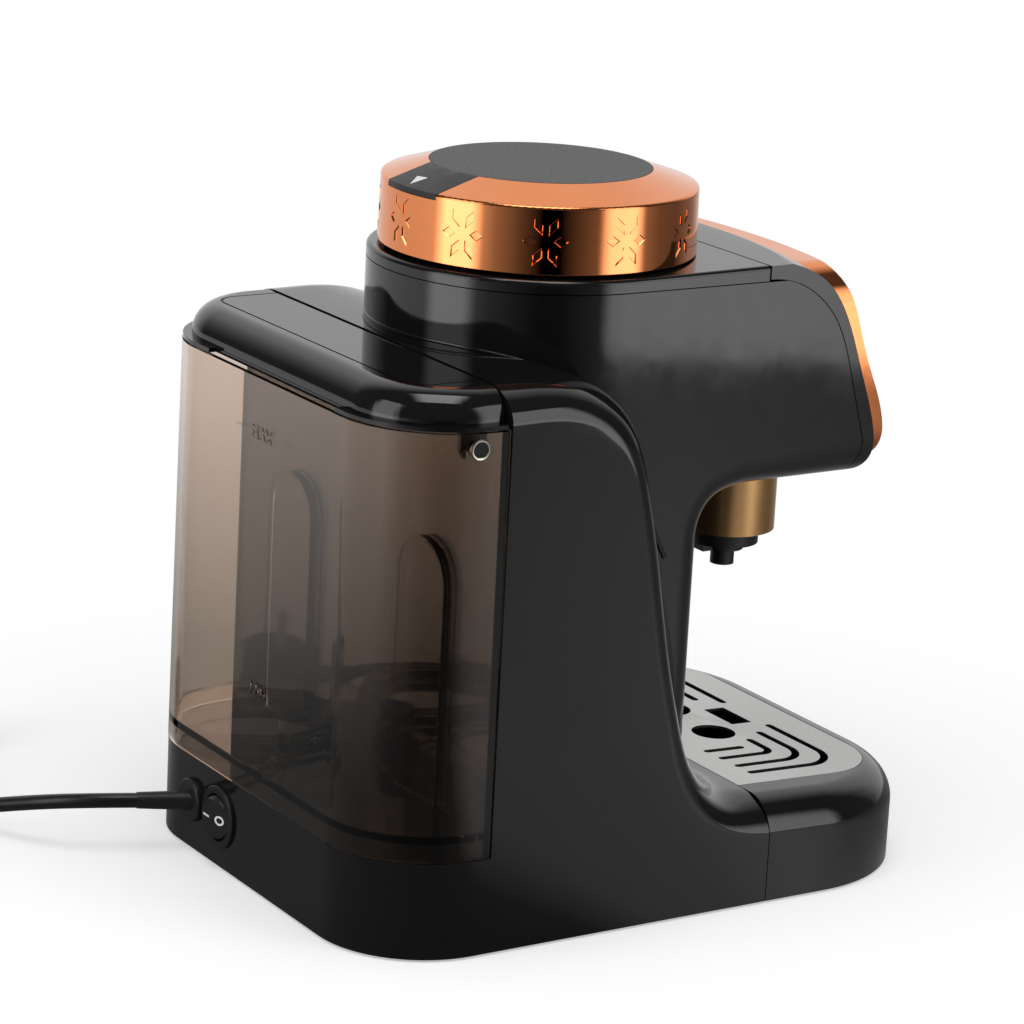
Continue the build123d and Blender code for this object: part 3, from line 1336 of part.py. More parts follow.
# ---------------------------------------------------------------- mains inlet: rocker, gland, lead and plug

BEZEL_T = 1.4
BEZEL_HOLE = ROCKER_R + 0.35
PIVOT_DEPTH = 3.0
ROCKER_AXIS_Y = REAR_Y + BEZEL_T - PIVOT_DEPTH
ROCKER_PROUD = 5.1                          # from the rocker's axis out to its proud face

with BuildPart() as rocker_bezel:
    with BuildSketch(Plane.XZ.offset(-REAR_Y)):
        with Locations((ROCKER_X, ROCKER_Z)):
            Circle(BEZEL_R)
    extrude(amount=-BEZEL_T)
    fillet(rocker_bezel.faces().sort_by(Axis.Y)[-1].edges(), 0.7)
    with BuildSketch(Plane.XZ.offset(-REAR_Y)):
        with Locations((ROCKER_X, ROCKER_Z)):
            Circle(BEZEL_BARREL)
    extrude(amount=17)
    with BuildSketch(Plane.XZ.offset(-REAR_Y - 5)):
        with Locations((ROCKER_X, ROCKER_Z)):
            Circle(BEZEL_HOLE)
    extrude(amount=18, mode=Mode.SUBTRACT)
save(rocker_bezel.part, "rocker_bezel")

with BuildPart() as rocker_cap:
    with Locations((ROCKER_X, ROCKER_AXIS_Y, ROCKER_Z)):
        Sphere(ROCKER_R, rotation=(-90, 0, 0))
    for side in (-1, 1):
        turn = math.radians(side * ROCKER_TILT - ROCKER_TILT)
        facet = Plane(
            origin=(ROCKER_X, ROCKER_AXIS_Y, ROCKER_Z),
            x_dir=(math.cos(turn), -math.sin(turn), 0), z_dir=(math.sin(turn), math.cos(turn), 0)
        )
        with BuildSketch(facet.offset(ROCKER_PROUD)):
            Rectangle(40, 40)
        extrude(amount=20, mode=Mode.SUBTRACT)
    with Locations((ROCKER_X, ROCKER_AXIS_Y - 4, ROCKER_Z)):
        Box(40, 20, 40, align=(Align.CENTER, Align.MAX, Align.CENTER), mode=Mode.SUBTRACT)
save(rocker_cap.part, "rocker_cap")

GLAND_END = REAR_Y + GLAND_PROUD
leave = math.radians(CORD_LEAVE)
LEAVE = (math.sin(leave), math.cos(leave))
SLEEVE_LONG = 20.0


def along(distance, z):
    """Point of the lead, this far past the gland's face."""
    return (GLAND_X + LEAVE[0] * distance, GLAND_END + LEAVE[1] * distance, z)


with BuildPart() as cord_gland:
    with BuildSketch(Plane.XZ.offset(-REAR_Y)):
        with Locations((GLAND_X, GLAND_Z)):
            Circle(GLAND_R)
    extrude(amount=-GLAND_PROUD)
    fillet(cord_gland.faces().sort_by(Axis.Y)[-1].edges(), 1.2)
    with BuildSketch(Plane.XZ.offset(-REAR_Y)):
        with Locations((GLAND_X, GLAND_Z)):
            Circle(GLAND_NECK)
    extrude(amount=8)
    taper_plane = Plane(origin=along(-3, GLAND_Z), z_dir=(LEAVE[0], LEAVE[1], 0))
    with BuildSketch(taper_plane):
        Circle(CORD_D / 2 + 1.0)
    with BuildSketch(taper_plane.offset(SLEEVE_LONG + 3)):
        Circle(CORD_D / 2 + 0.3)
    loft()
    with BuildSketch(taper_plane.offset(-1)):
        Circle(CORD_D / 2 + 0.1)
    extrude(amount=SLEEVE_LONG + 10, mode=Mode.SUBTRACT)
save(cord_gland.part, "cord_gland")

TURN_OUT = COIL_MID_R + CORD_D / 2          # centre line of the coil's outer turns
COIL_TOP_Z = (COIL_LAYERS - 0.5) * CORD_D
COIL_X = 156.7
COIL_Y = 221.4
ROUTE = [                                   # from inside the gland down to the table and to the coil's edge
    along(-2, GLAND_Z), along(16, GLAND_Z), (61.0, 167.9, 21.0), (72.7, 180.4, 18.6), (86.9, 189.6, 14.4),
    (100.5, 198.1, 10.0), (110.7, 209.1, 6.2), (117.7, 222.3, 3.6)]


def bend_radii(points):
    """Round each corner of the lead as widely as its two runs allow."""
    radii = []
    for a, b, c in zip(points, points[1:], points[2:]):
        before = Vector(*b) - Vector(*a)
        after = Vector(*c) - Vector(*b)
        half_turn = math.radians(before.get_angle(after)) / 2
        radii.append(0.45 * min(before.length, after.length) / math.tan(half_turn))
    return radii


radii = bend_radii(ROUTE)
with BuildPart() as mains_cord:
    with BuildLine():
        cord_line = FilletPolyline(*ROUTE, radius=radii)
    with BuildSketch(Plane(origin=cord_line @ 0, z_dir=cord_line % 0)):
        Circle(CORD_D / 2)
    sweep(path=cord_line)
print("bends of the lead, mm:", [round(r, 1) for r in radii])
section = math.pi * (CORD_D / 2) ** 2
print("lead's free run, mm:", round(cord_line.length, 1), round(mains_cord.part.volume / section, 1))
save(mains_cord.part, "mains_cord")

with BuildPart() as mains_coil:
    with BuildSketch():
        with Locations((COIL_X, COIL_Y)):
            Circle(COIL_MID_R + CORD_D * COIL_TURNS_WIDE / 2)
            Circle(COIL_MID_R - CORD_D * COIL_TURNS_WIDE / 2, mode=Mode.SUBTRACT)
    extrude(amount=COIL_LAYERS * CORD_D)
save(mains_coil.part, "mains_coil")

# the plug stands on its back beside the coil, with its pins up
PLUG_X = COIL_X + 46.0
PLUG_Y = COIL_Y - 54.0
PLUG_R = 18.5
PLUG_H = 25.0
PLUG_ENTRY_Z = 7.0
PLUG_SLEEVE = 11.0
PIN_R = 2.4
PIN_LONG = 19.0
PIN_PITCH = 19.0
TAIL_START = (COIL_X + TURN_OUT + 0.9, COIL_Y - 13.2, COIL_TOP_Z - 0.4)
TAIL_END = (PLUG_X - 1.0, PLUG_Y + PLUG_R + PLUG_SLEEVE - 1.0, PLUG_ENTRY_Z)

with BuildPart() as mains_cord_tail:
    with BuildLine():
        tail = Line(TAIL_START, TAIL_END)
    with BuildSketch(Plane(origin=tail @ 0, z_dir=tail % 0)):
        Circle(CORD_D / 2)
    sweep(path=tail)
save(mains_cord_tail.part, "mains_cord_tail")

with BuildPart() as plug_body:
    with BuildSketch():
        with Locations((PLUG_X, PLUG_Y)):
            Circle(PLUG_R)
    extrude(amount=PLUG_H)
    fillet(plug_body.edges().group_by(Axis.Z)[0], 3.0)
    fillet(plug_body.edges().group_by(Axis.Z)[-1], 1.0)
    with BuildSketch(Plane.XZ.offset(-PLUG_Y - PLUG_R + 3)):
        with Locations((PLUG_X, PLUG_ENTRY_Z)):
            Circle(5.6)
    with BuildSketch(Plane.XZ.offset(-PLUG_Y - PLUG_R - PLUG_SLEEVE)):
        with Locations((PLUG_X, PLUG_ENTRY_Z)):
            Circle(CORD_D / 2 + 0.6)
    loft()
    with BuildSketch(Plane.XY.offset(PLUG_H)):
        with Locations((PLUG_X - PIN_PITCH / 2, PLUG_Y), (PLUG_X + PIN_PITCH / 2, PLUG_Y)):
            Circle(PIN_R)
    extrude(amount=-8, mode=Mode.SUBTRACT)
    with BuildSketch(Plane(origin=tail @ 0, z_dir=tail % 0)):
        Circle(CORD_D / 2)
    extrude(amount=tail.length, mode=Mode.SUBTRACT)
    # grip recesses of the earth contacts
    with BuildSketch(Plane.XY.offset(PLUG_H)):
        with Locations((PLUG_X, PLUG_Y - PLUG_R), (PLUG_X, PLUG_Y + PLUG_R)):
            Rectangle(6, 4)
    extrude(amount=-12, mode=Mode.SUBTRACT)
save(plug_body.part, "plug_body")

with BuildPart() as plug_pins:
    with BuildSketch(Plane.XY.offset(PLUG_H - 8)):
        with Locations((PLUG_X - PIN_PITCH / 2, PLUG_Y), (PLUG_X + PIN_PITCH / 2, PLUG_Y)):
            Circle(PIN_R)
    extrude(amount=PIN_LONG + 8)
    fillet(plug_pins.edges().group_by(Axis.Z)[-1], 1.0)
save(plug_pins.part, "plug_pins")
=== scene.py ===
import json
import math

import bmesh
import bpy
from mathutils import Matrix, Vector
from mathutils.bvhtree import BVHTree

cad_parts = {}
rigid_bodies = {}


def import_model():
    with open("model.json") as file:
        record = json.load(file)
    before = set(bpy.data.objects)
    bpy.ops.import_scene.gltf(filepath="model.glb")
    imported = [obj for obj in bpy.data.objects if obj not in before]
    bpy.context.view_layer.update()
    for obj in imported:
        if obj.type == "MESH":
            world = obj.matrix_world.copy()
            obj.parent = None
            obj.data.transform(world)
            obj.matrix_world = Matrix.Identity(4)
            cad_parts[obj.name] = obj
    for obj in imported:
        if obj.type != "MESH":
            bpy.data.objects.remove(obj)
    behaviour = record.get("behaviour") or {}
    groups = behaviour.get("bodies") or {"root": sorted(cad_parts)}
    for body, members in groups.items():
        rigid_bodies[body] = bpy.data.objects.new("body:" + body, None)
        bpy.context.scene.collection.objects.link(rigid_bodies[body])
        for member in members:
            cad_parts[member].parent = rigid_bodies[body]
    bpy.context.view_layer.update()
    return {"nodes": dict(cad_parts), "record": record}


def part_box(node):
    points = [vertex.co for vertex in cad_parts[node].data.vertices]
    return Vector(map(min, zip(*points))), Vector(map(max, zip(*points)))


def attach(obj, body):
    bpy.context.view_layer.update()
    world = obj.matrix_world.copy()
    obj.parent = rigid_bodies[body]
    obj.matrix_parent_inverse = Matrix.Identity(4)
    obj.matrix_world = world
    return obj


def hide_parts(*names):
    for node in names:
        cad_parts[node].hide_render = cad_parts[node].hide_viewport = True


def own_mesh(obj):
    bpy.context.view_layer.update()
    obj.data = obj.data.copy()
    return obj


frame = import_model()

MM = 0.001
MACHINE = "machine"

# ---------------------------------------------------------------- sizes repeated from the model, in metres

TOWER = Vector((0, 13 * MM, 0))           # axis of the brew chamber, its lid and its dial
TOWER_RADIUS = 66 * MM
RING_RADIUS = 62.0 * MM
LID_PIVOT = (96.15 * MM, 196.6 * MM)      # how far back and how high the tank's lid turns
CORD_DIAMETER = 6 * MM

ACROSS = Vector((1, 0, 0))                # the front faces -Y
FORWARD = Vector((0, -1, 0))
UP = Vector((0, 0, 1))


def bearing(degrees, distance=1.0, height=0.0):
    """Point at this compass direction from the middle of the machine, counted from +X towards +Y."""
    angle = math.radians(degrees)
    return Vector((math.cos(angle) * distance, math.sin(angle) * distance, height))


# ---------------------------------------------------------------- camera

def make_camera():
    """Telephoto view on the machine's rear left corner, from a little above."""
    azimuth, elevation, roll = (math.radians(v) for v in (237.173, 15.443, 2.999))
    target = Vector((0, 17.93, 139.65)) * MM
    distance = 1.5181
    focal_length = 135.456                # in millimetres, on a sensor 36 wide
    back = Vector((
        math.sin(azimuth) * math.cos(elevation), -math.cos(azimuth) * math.cos(elevation), math.sin(elevation)
    ))
    level = Vector((math.cos(azimuth), math.sin(azimuth), 0))
    upright = back.cross(level)
    right = level * math.cos(roll) + upright * math.sin(roll)
    up = upright * math.cos(roll) - level * math.sin(roll)
    turned = Matrix((right, up, back)).transposed().to_4x4()
    camera = bpy.data.objects.new("camera", bpy.data.cameras.new("camera"))
    bpy.context.scene.collection.objects.link(camera)
    camera.matrix_world = Matrix.Translation(target + back * distance) @ turned
    camera.data.sensor_width = 36.0
    camera.data.lens = focal_length
    camera.data.clip_end = 50
    bpy.context.scene.camera = camera


make_camera()

# ---------------------------------------------------------------- helpers for meshes and pieces


def link(piece, body, material, stands_for=()):
    """Put a finished piece into the scene, on its body, in place of its CAD nodes."""
    bpy.context.scene.collection.objects.link(piece)
    piece.data.materials.clear()
    piece.data.materials.append(material)
    if stands_for:
        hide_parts(*stands_for)
    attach(piece, body)
    return piece


def shade_by_angle(mesh, degrees=30.0):
    """Join the faces and smooth them, with edges sharper than this kept crisp."""
    same_place = 0.002 * MM
    bm = bmesh.new()
    bm.from_mesh(mesh)
    bmesh.ops.remove_doubles(bm, verts=bm.verts, dist=same_place)
    limit = math.radians(degrees)
    for face in bm.faces:
        face.smooth = True
    for edge in bm.edges:
        edge.smooth = len(edge.link_faces) == 2 and edge.calc_face_angle(0) < limit
    bm.to_mesh(mesh)
    bm.free()


def body_of(node):
    """Name of the body that carries this CAD node."""
    for body, members in frame["record"]["behaviour"]["bodies"].items():
        if node in members:
            return body


def level_normals(piece):
    """Let the wide faces rule the normals, so that flats stay flat right up to their rounds."""
    level = piece.modifiers.new("level_normals", "WEIGHTED_NORMAL")
    level.mode = "FACE_AREA_WITH_ANGLE"
    level.weight = 75
    level.keep_sharp = True


def smooth_copy(node, material, degrees=30.0, cutter=None):
    """A copy of a CAD node whose faces are joined, so that gloss runs smoothly over its rounds."""
    piece = bpy.data.objects.new(node + "_skin", frame["nodes"][node].data.copy())
    shade_by_angle(piece.data, degrees)
    if cutter is not None:
        piece.data = carved(piece, cutter)
        shade_by_angle(piece.data, degrees)
    level_normals(piece)
    return link(piece, body_of(node), material, [node])


def evaluated_mesh(piece):
    """The plain mesh that a piece's modifiers make."""
    bpy.context.view_layer.update()
    return bpy.data.meshes.new_from_object(piece.evaluated_get(bpy.context.evaluated_depsgraph_get()))


def carved(piece, cutter):
    """The piece's mesh after the cutter is taken out of it."""
    shown = bpy.context.scene.collection.objects
    for item in (piece, cutter):
        shown.link(item)
    cut = piece.modifiers.new("cut", "BOOLEAN")
    cut.operation = "DIFFERENCE"
    cut.object = cutter
    cut.solver = "EXACT"
    mesh = evaluated_mesh(piece)
    piece.modifiers.remove(cut)
    shown.unlink(piece)
    bpy.data.objects.remove(cutter)
    return mesh


# ---------------------------------------------------------------- the mains lead

LEAD_BEARING = math.radians(90 - 24)      # it leaves 24 degrees off straight back
LEAD_WAY = Vector((math.cos(LEAD_BEARING), math.sin(LEAD_BEARING), 0))
GLAND_FACE = Vector((45.8, 134.15, 21.2)) * MM
COIL = Vector((156.7, 221.4, 0)) * MM
OUTER_TURN = 36 * MM
INNER_TURN = 30 * MM
COIL_START = 167.25                       # bearing where the lead meets the coil, in degrees
COIL_END = 1237                           # how far it has turned where it leaves the coil
MOVES_IN = (290, 360)                     # from the outer turn to the inner one
MOVES_UP = (590, 670)                     # onto the two turns below
MOVES_OUT = (900, 970)                    # and back to the outer turn


def ease(value, start, end):
    """From 0 before start to 1 after end, with no kink."""
    share = min(max((value - start) / (end - start), 0.0), 1.0)
    return share * share * (3 - 2 * share)


def coil_points():
    """Four turns, two beside and two on each other: outer and inner below, then inner and outer above."""
    points = []
    step = 22.5
    drawn_in = math.cos(math.radians(step / 2))   # the curve runs inside its control points by this much
    travelled = step / 2
    while travelled < COIL_END:
        inward = ease(travelled, *MOVES_IN) - ease(travelled, *MOVES_OUT)
        up = ease(travelled, *MOVES_UP)
        radius = (OUTER_TURN + (INNER_TURN - OUTER_TURN) * inward) / drawn_in
        points.append(COIL + bearing(COIL_START - travelled, radius, CORD_DIAMETER * (0.5 + up)))
        travelled += step
    return points


def lead_route():
    """Control points of the lead: out of the gland, down to the table, round the coil and to the plug."""
    straight = [GLAND_FACE + LEAD_WAY * distance * MM for distance in (-2, 16)]
    down = [
        (61.0, 167.9, 21.0), (72.7, 180.4, 18.6), (86.9, 189.6, 14.4), (100.5, 198.1, 10.0),
        (110.7, 209.1, 6.2), (117.7, 222.3, 3.6),
    ]
    tail_from_coil = [(36.6, -1, 8.9), (40, -10.5, 8.6), (44.6, -17, 7.8), (46, -25, 7), (46, -34, 7)]
    free = [Vector(place) * MM for place in down]
    return straight + free + coil_points() + [COIL + Vector(place) * MM for place in tail_from_coil]


def make_lead(sheath, strap):
    """The mains lead as one round cord, with the strap that ties its coil."""
    curve = bpy.data.curves.new("mains_lead", "CURVE")
    curve.dimensions = "3D"
    points = lead_route()
    spline = curve.splines.new("NURBS")
    spline.points.add(len(points) - 1)
    for knot, place in zip(spline.points, points):
        knot.co = (*place, 1)
    spline.order_u = 3
    spline.use_endpoint_u = True
    spline.resolution_u = 6
    curve.bevel_depth = CORD_DIAMETER / 2
    curve.bevel_resolution = 5
    curve.use_fill_caps = True
    lead = bpy.data.objects.new("mains_lead", curve)
    link(lead, MACHINE, sheath, ["mains_cord", "mains_coil", "mains_cord_tail"])
    tie = make_tie(strap)
    for item in (lead, tie):
        item.visible_glossy = False       # the coil would be doubled in the tank's gloss


def make_tie(material):
    """Flat strap round the four turns."""
    mesh = bpy.data.meshes.new("coil_tie")
    bm = bmesh.new()
    slack = 0.5 * MM
    half = CORD_DIAMETER + slack
    corner = 2.2 * MM
    half_width = 4 * MM
    thickness = 0.6 * MM
    outline = []
    for quarter, (x, z) in enumerate(((1, 1), (-1, 1), (-1, -1), (1, -1))):
        for turn in range(5):
            angle = math.radians(90 * quarter + 22.5 * turn)
            outline.append((
                x * (half - corner) + corner * math.cos(angle), z * (half - corner) + corner * math.sin(angle)
            ))
    across = bearing(60)
    along = bearing(150)
    middle = COIL + across * (OUTER_TURN + INNER_TURN) / 2 + UP * half
    rings = []
    for offset in (-half_width, half_width):
        rings.append([bm.verts.new(middle + across * x + UP * z + along * offset) for x, z in outline])
    count = len(outline)
    for i in range(count):
        bm.faces.new((rings[0][i], rings[0][(i + 1) % count], rings[1][(i + 1) % count], rings[1][i]))
    bmesh.ops.recalc_face_normals(bm, faces=bm.faces)
    bm.to_mesh(mesh)
    bm.free()
    tie = bpy.data.objects.new("coil_tie", mesh)
    wall = tie.modifiers.new("wall", "SOLIDIFY")
    wall.thickness = thickness
    wall.offset = -1
    shade_by_angle(mesh, 40)
    return link(tie, MACHINE, material)


# ---------------------------------------------------------------- materials


def paint(code):
    """Linear colour of an sRGB hex value."""
    parts = [int(code[i:i + 2], 16) / 255 for i in (1, 3, 5)]
    return (*[v / 12.92 if v <= 0.04045 else ((v + 0.055) / 1.055) ** 2.4 for v in parts], 1.0)


def grown(millimetres):
    """Scale of a pattern on Object coordinates whose grain is this wide."""
    return 1 / (millimetres * MM)


def add_node(tree, kind, inputs=None, **settings):
    """Add a node to a tree, with its settings, and values or links for its inputs."""
    node = tree.nodes.new(kind)
    for name, value in settings.items():
        setattr(node, name, value)
    for socket, value in (inputs or {}).items():
        if isinstance(value, bpy.types.NodeSocket):
            tree.links.new(value, node.inputs[socket])
        else:
            node.inputs[socket].default_value = value
    return node


class Recipe:
    """A material, or the studio's world, under construction; a material starts as one Principled surface."""

    def __init__(self, name, surface=None, world=None):
        self.material = world or bpy.data.materials.new(name)
        self.material.use_nodes = True
        self.tree = self.material.node_tree
        self.tree.nodes.clear()
        self.ending = "ShaderNodeOutputWorld" if world else "ShaderNodeOutputMaterial"
        self.place = self.add("ShaderNodeTexCoord").outputs["Generated" if world else "Object"]
        if world is None:
            self.surface = self.add("ShaderNodeBsdfPrincipled", surface)
            self.finish(self.surface.outputs[0])

    def add(self, kind, inputs=None, **settings):
        """Add a node to this recipe."""
        return add_node(self.tree, kind, inputs, **settings)

    def finish(self, shader):
        """End the tree with this shader, in place of any that ended it before."""
        for node in [node for node in self.tree.nodes if node.bl_idname == self.ending]:
            self.tree.nodes.remove(node)
        self.add(self.ending, {"Surface": shader})

    def grain(self, width, stretch=(1, 1, 1), detail=3.0):
        """Pattern of uneven blots this many millimetres wide, drawn finer or coarser along each axis."""
        place = self.add("ShaderNodeMapping", {"Vector": self.place, "Scale": stretch}).outputs[0]
        return self.add(
            "ShaderNodeTexNoise", {"Vector": place, "Scale": grown(width), "Detail": detail}
        ).outputs["Fac"]

    def tint(self, pattern, low, high, start=0.3, end=0.7):
        """Colour that runs from one tone to another by a pattern."""
        share = self.add("ShaderNodeMapRange", {"Value": pattern, "From Min": start, "From Max": end})
        tones = {0: share.outputs[0], 6: paint(low), 7: paint(high)}
        blend = self.add("ShaderNodeMix", tones, data_type="RGBA").outputs[2]
        self.tree.links.new(blend, self.surface.inputs["Base Color"])

    def rough(self, pattern, low, high):
        """Roughness that runs between two values by a pattern."""
        spread = {"Value": pattern, "From Min": 0.3, "From Max": 0.7, "To Min": low, "To Max": high}
        value = self.add("ShaderNodeMapRange", spread).outputs[0]
        self.tree.links.new(value, self.surface.inputs["Roughness"])

    def relief(self, pattern, depth):
        """Relief this many millimetres deep."""
        raised = self.add("ShaderNodeBump", {"Height": pattern, "Distance": depth * MM, "Strength": 1.0})
        self.tree.links.new(raised.outputs[0], self.surface.inputs["Normal"])


def polished_abs():
    """Injection-moulded ABS from a polished tool: deep black gloss with a faint ripple from its shrinkage."""
    made = Recipe("polished_abs", {"IOR": 1.53})
    made.tint(made.grain(40), "#101012", "#131315")
    made.rough(made.grain(9), 0.05, 0.09)
    made.relief(made.grain(22, detail=1.0), 0.02)
    return made.material


def satin_abs():
    """ABS from a spark-eroded tool: fine even grain that spreads the light to a soft grey sheen."""
    made = Recipe("satin_abs", {"IOR": 1.53})
    made.tint(made.grain(20), "#121214", "#161618")
    made.rough(made.grain(1.5), 0.42, 0.50)
    made.relief(made.grain(0.5), 0.01)
    return made.material


def glass_filled_nylon():
    """Matt black nylon of hidden and hot parts, with a dry grain from its fibres."""
    made = Recipe("glass_filled_nylon", {"IOR": 1.52})
    made.tint(made.grain(3), "#121212", "#1c1c1c")
    made.rough(made.grain(1.2), 0.38, 0.55)
    made.relief(made.grain(0.8), 0.02)
    return made.material


def copper_plating():
    """Bright copper electroplated on ABS: a warm mirror, with the plastic's slight ripple under it."""
    made = Recipe("copper_plating", {"Metallic": 1.0})
    made.tint(made.grain(25), "#ee9059", "#f29660")
    made.rough(made.grain(6), 0.05, 0.10)
    made.relief(made.grain(18, detail=1.0), 0.015)
    return made.material


def gold_anodised_aluminium():
    """Spun aluminium sleeve, anodised pale gold: soft vertical glow and fine turning lines."""
    made = Recipe("gold_anodised_aluminium", {"Metallic": 1.0})
    made.tint(made.grain(15), "#dfae74", "#e4b57c")
    made.rough(made.grain(2, (0.2, 0.2, 4)), 0.16, 0.24)
    made.relief(made.grain(1.2, (0.05, 0.05, 6)), 0.004)
    return made.material


def brushed_stainless():
    """Stainless sheet brushed from side to side, its lines drawn coarser than real ones so that they show."""
    made = Recipe("brushed_stainless", {"Metallic": 1.0, "Anisotropic": 0.5})
    lines = made.grain(1.0, (0.03, 2.5, 2.5), 4.0)
    made.tint(lines, "#b2b2b0", "#c6c6c4")
    made.rough(lines, 0.26, 0.40)
    made.relief(lines, 0.01)
    return made.material


def smoked_san():
    """Smoked SAN of the tank: clear walls with a faint brown tint that deepens where they stack up."""
    made = Recipe("smoked_san", {"Transmission Weight": 1.0, "IOR": 1.5})
    made.tint(made.grain(60), "#efdfd1", "#f1e3d6")
    made.rough(made.grain(12), 0.0, 0.006)
    made.relief(made.grain(40, detail=1.0), 0.006)
    return made.material


def pvc_sheath():
    """Extruded PVC sheath: satin black with a faint lengthwise drag."""
    made = Recipe("pvc_sheath", {"IOR": 1.53})
    made.tint(made.grain(6), "#0d0d0e", "#151516")
    made.rough(made.grain(2), 0.30, 0.42)
    made.relief(made.grain(1.5), 0.02)
    return made.material


def moulded_rubber():
    """Matt black rubber with a dusty bloom."""
    made = Recipe("moulded_rubber", {"IOR": 1.5})
    made.tint(made.grain(4), "#101010", "#1d1d1c")
    made.rough(made.grain(2), 0.6, 0.8)
    made.relief(made.grain(0.6), 0.03)
    return made.material


def nickel_plate():
    """Nickel-plated brass pins, slightly scuffed along their length."""
    made = Recipe("nickel_plate", {"Metallic": 1.0})
    made.tint(made.grain(3), "#c9c3b4", "#d6d1c4")
    made.rough(made.grain(1, (3, 3, 0.3)), 0.16, 0.32)
    return made.material


def clear_silicone():
    """Milky silicone of hoses and seals."""
    made = Recipe("clear_silicone", {"IOR": 1.41, "Subsurface Weight": 0.2, "Subsurface Scale": 2 * MM})
    made.tint(made.grain(5), "#cfcbc0", "#dcd8ce")
    made.rough(made.grain(3), 0.35, 0.5)
    return made.material


def zinc_steel():
    """Zinc-plated or drawn steel with a cool dull shine."""
    made = Recipe("zinc_steel", {"Metallic": 1.0})
    made.tint(made.grain(2), "#9da1a5", "#b9bdc0")
    made.rough(made.grain(1), 0.25, 0.45)
    return made.material


def cast_aluminium():
    """Cast aluminium of the heater, grainy and pale."""
    made = Recipe("cast_aluminium", {"Metallic": 1.0})
    made.tint(made.grain(2), "#a9aaab", "#bfc0c1")
    made.rough(made.grain(1), 0.4, 0.6)
    made.relief(made.grain(0.8), 0.05)
    return made.material


def circuit_board():
    """Glass-epoxy board under green solder mask, with paler tracks."""
    made = Recipe("circuit_board", {"IOR": 1.5})
    made.tint(made.grain(2, (1, 1, 1), 0.0), "#1d4a2c", "#2f6b3f", 0.48, 0.52)
    made.rough(made.grain(3), 0.3, 0.4)
    return made.material


def amber_light_pipe():
    """Tinted polycarbonate of the two lamps."""
    made = Recipe("amber_light_pipe", {"IOR": 1.58, "Transmission Weight": 0.4})
    made.tint(made.grain(2), "#d8862f", "#e39a48")
    made.rough(made.grain(1), 0.12, 0.2)
    return made.material


def pad_print():
    """White pad-printing ink: thin, even and slightly satin."""
    made = Recipe("pad_print", {"IOR": 1.5})
    made.tint(made.grain(1.5), "#e9e8e4", "#f4f3f0")
    made.rough(made.grain(1), 0.35, 0.5)
    return made.material


gloss = polished_abs()
satin = satin_abs()
nylon = glass_filled_nylon()
copper = copper_plating()
gold = gold_anodised_aluminium()
stainless = brushed_stainless()
smoked = smoked_san()
sheath = pvc_sheath()
rubber = moulded_rubber()
nickel = nickel_plate()
silicone = clear_silicone()
steel = zinc_steel()
aluminium = cast_aluminium()
board = circuit_board()
amber = amber_light_pipe()
ink = pad_print()

FINISH = {
    "main_housing": gloss, "bottom_cover": nylon, "cover_screws": steel, "rubber_feet": rubber,
    "head_cover": gloss, "front_frame": gloss, "front_trim": copper, "control_panel": gloss,
    "indicator_lenses": amber, "control_board": board, "tact_switches": nylon, "brew_chamber": stainless,
    "heater_plate": aluminium, "thermostat": nylon, "outlet_hose": silicone, "outlet_valve": nylon,
    "spout_sleeve": gold, "spout_holder": nylon, "spout_nozzle": nylon, "spout_pipe": silicone,
    "tank_dock": nylon, "water_pump": steel, "pump_mounts": rubber, "inlet_hose": silicone,
    "delivery_hose": silicone, "power_board": board, "rocker_bezel": satin, "rocker_cap": satin,
    "cord_gland": nylon, "plug_body": rubber, "plug_pins": nickel, "drip_tray": gloss, "tray_feet": rubber,
    "drip_grille": stainless, "water_tank": smoked, "lid_pivot_pins": gloss, "tank_valve_body": nylon,
    "tank_valve_seal": rubber, "tank_valve_cage": nylon, "tank_valve_spring": steel, "tank_lid": gloss,
    "tank_valve_plunger": nylon, "lid_plate": nylon, "lid_gasket": silicone, "dial_ring": copper,
    "dial_disc": satin, "small_cup_button": satin, "large_cup_button": satin,
}

# small, or hidden inside the casing: their meshes stay as they came
AS_IT_CAME = {
    "control_board", "tact_switches", "heater_plate", "thermostat", "outlet_hose",
    "outlet_valve", "spout_pipe", "water_pump", "pump_mounts", "inlet_hose", "delivery_hose", "power_board",
    "cover_screws", "tank_valve_seal", "lid_gasket",
}
MADE_APART = {"dial_ring", "tank_valve_spring"}     # by functions of their own, below

for node, material in FINISH.items():
    if node in AS_IT_CAME:
        mesh = frame["nodes"][node].data
        mesh.materials.clear()
        mesh.materials.append(material)
    elif node not in MADE_APART:
        smooth_copy(node, material)

make_lead(sheath, rubber)

# ---------------------------------------------------------------- what repeats or follows a path


def node_tree(name, **sockets):
    """A geometry tree with these inputs, given as socket kinds, and its outlets for them."""
    tree = bpy.data.node_groups.new(name, "GeometryNodeTree")
    for socket, kind in sockets.items():
        tree.interface.new_socket(socket, in_out="INPUT", socket_type=kind)
    tree.interface.new_socket("Shape", in_out="OUTPUT", socket_type="NodeSocketGeometry")
    return tree, add_node(tree, "NodeGroupInput").outputs


def end_tree(tree, shape, finish):
    """End a geometry tree with a real, painted mesh."""
    real = add_node(tree, "GeometryNodeRealizeInstances", {"Geometry": shape}).outputs[0]
    done = add_node(tree, "GeometryNodeSetMaterial", {"Geometry": real, "Material": finish}).outputs[0]
    add_node(tree, "NodeGroupOutput", {"Shape": done})
    return tree


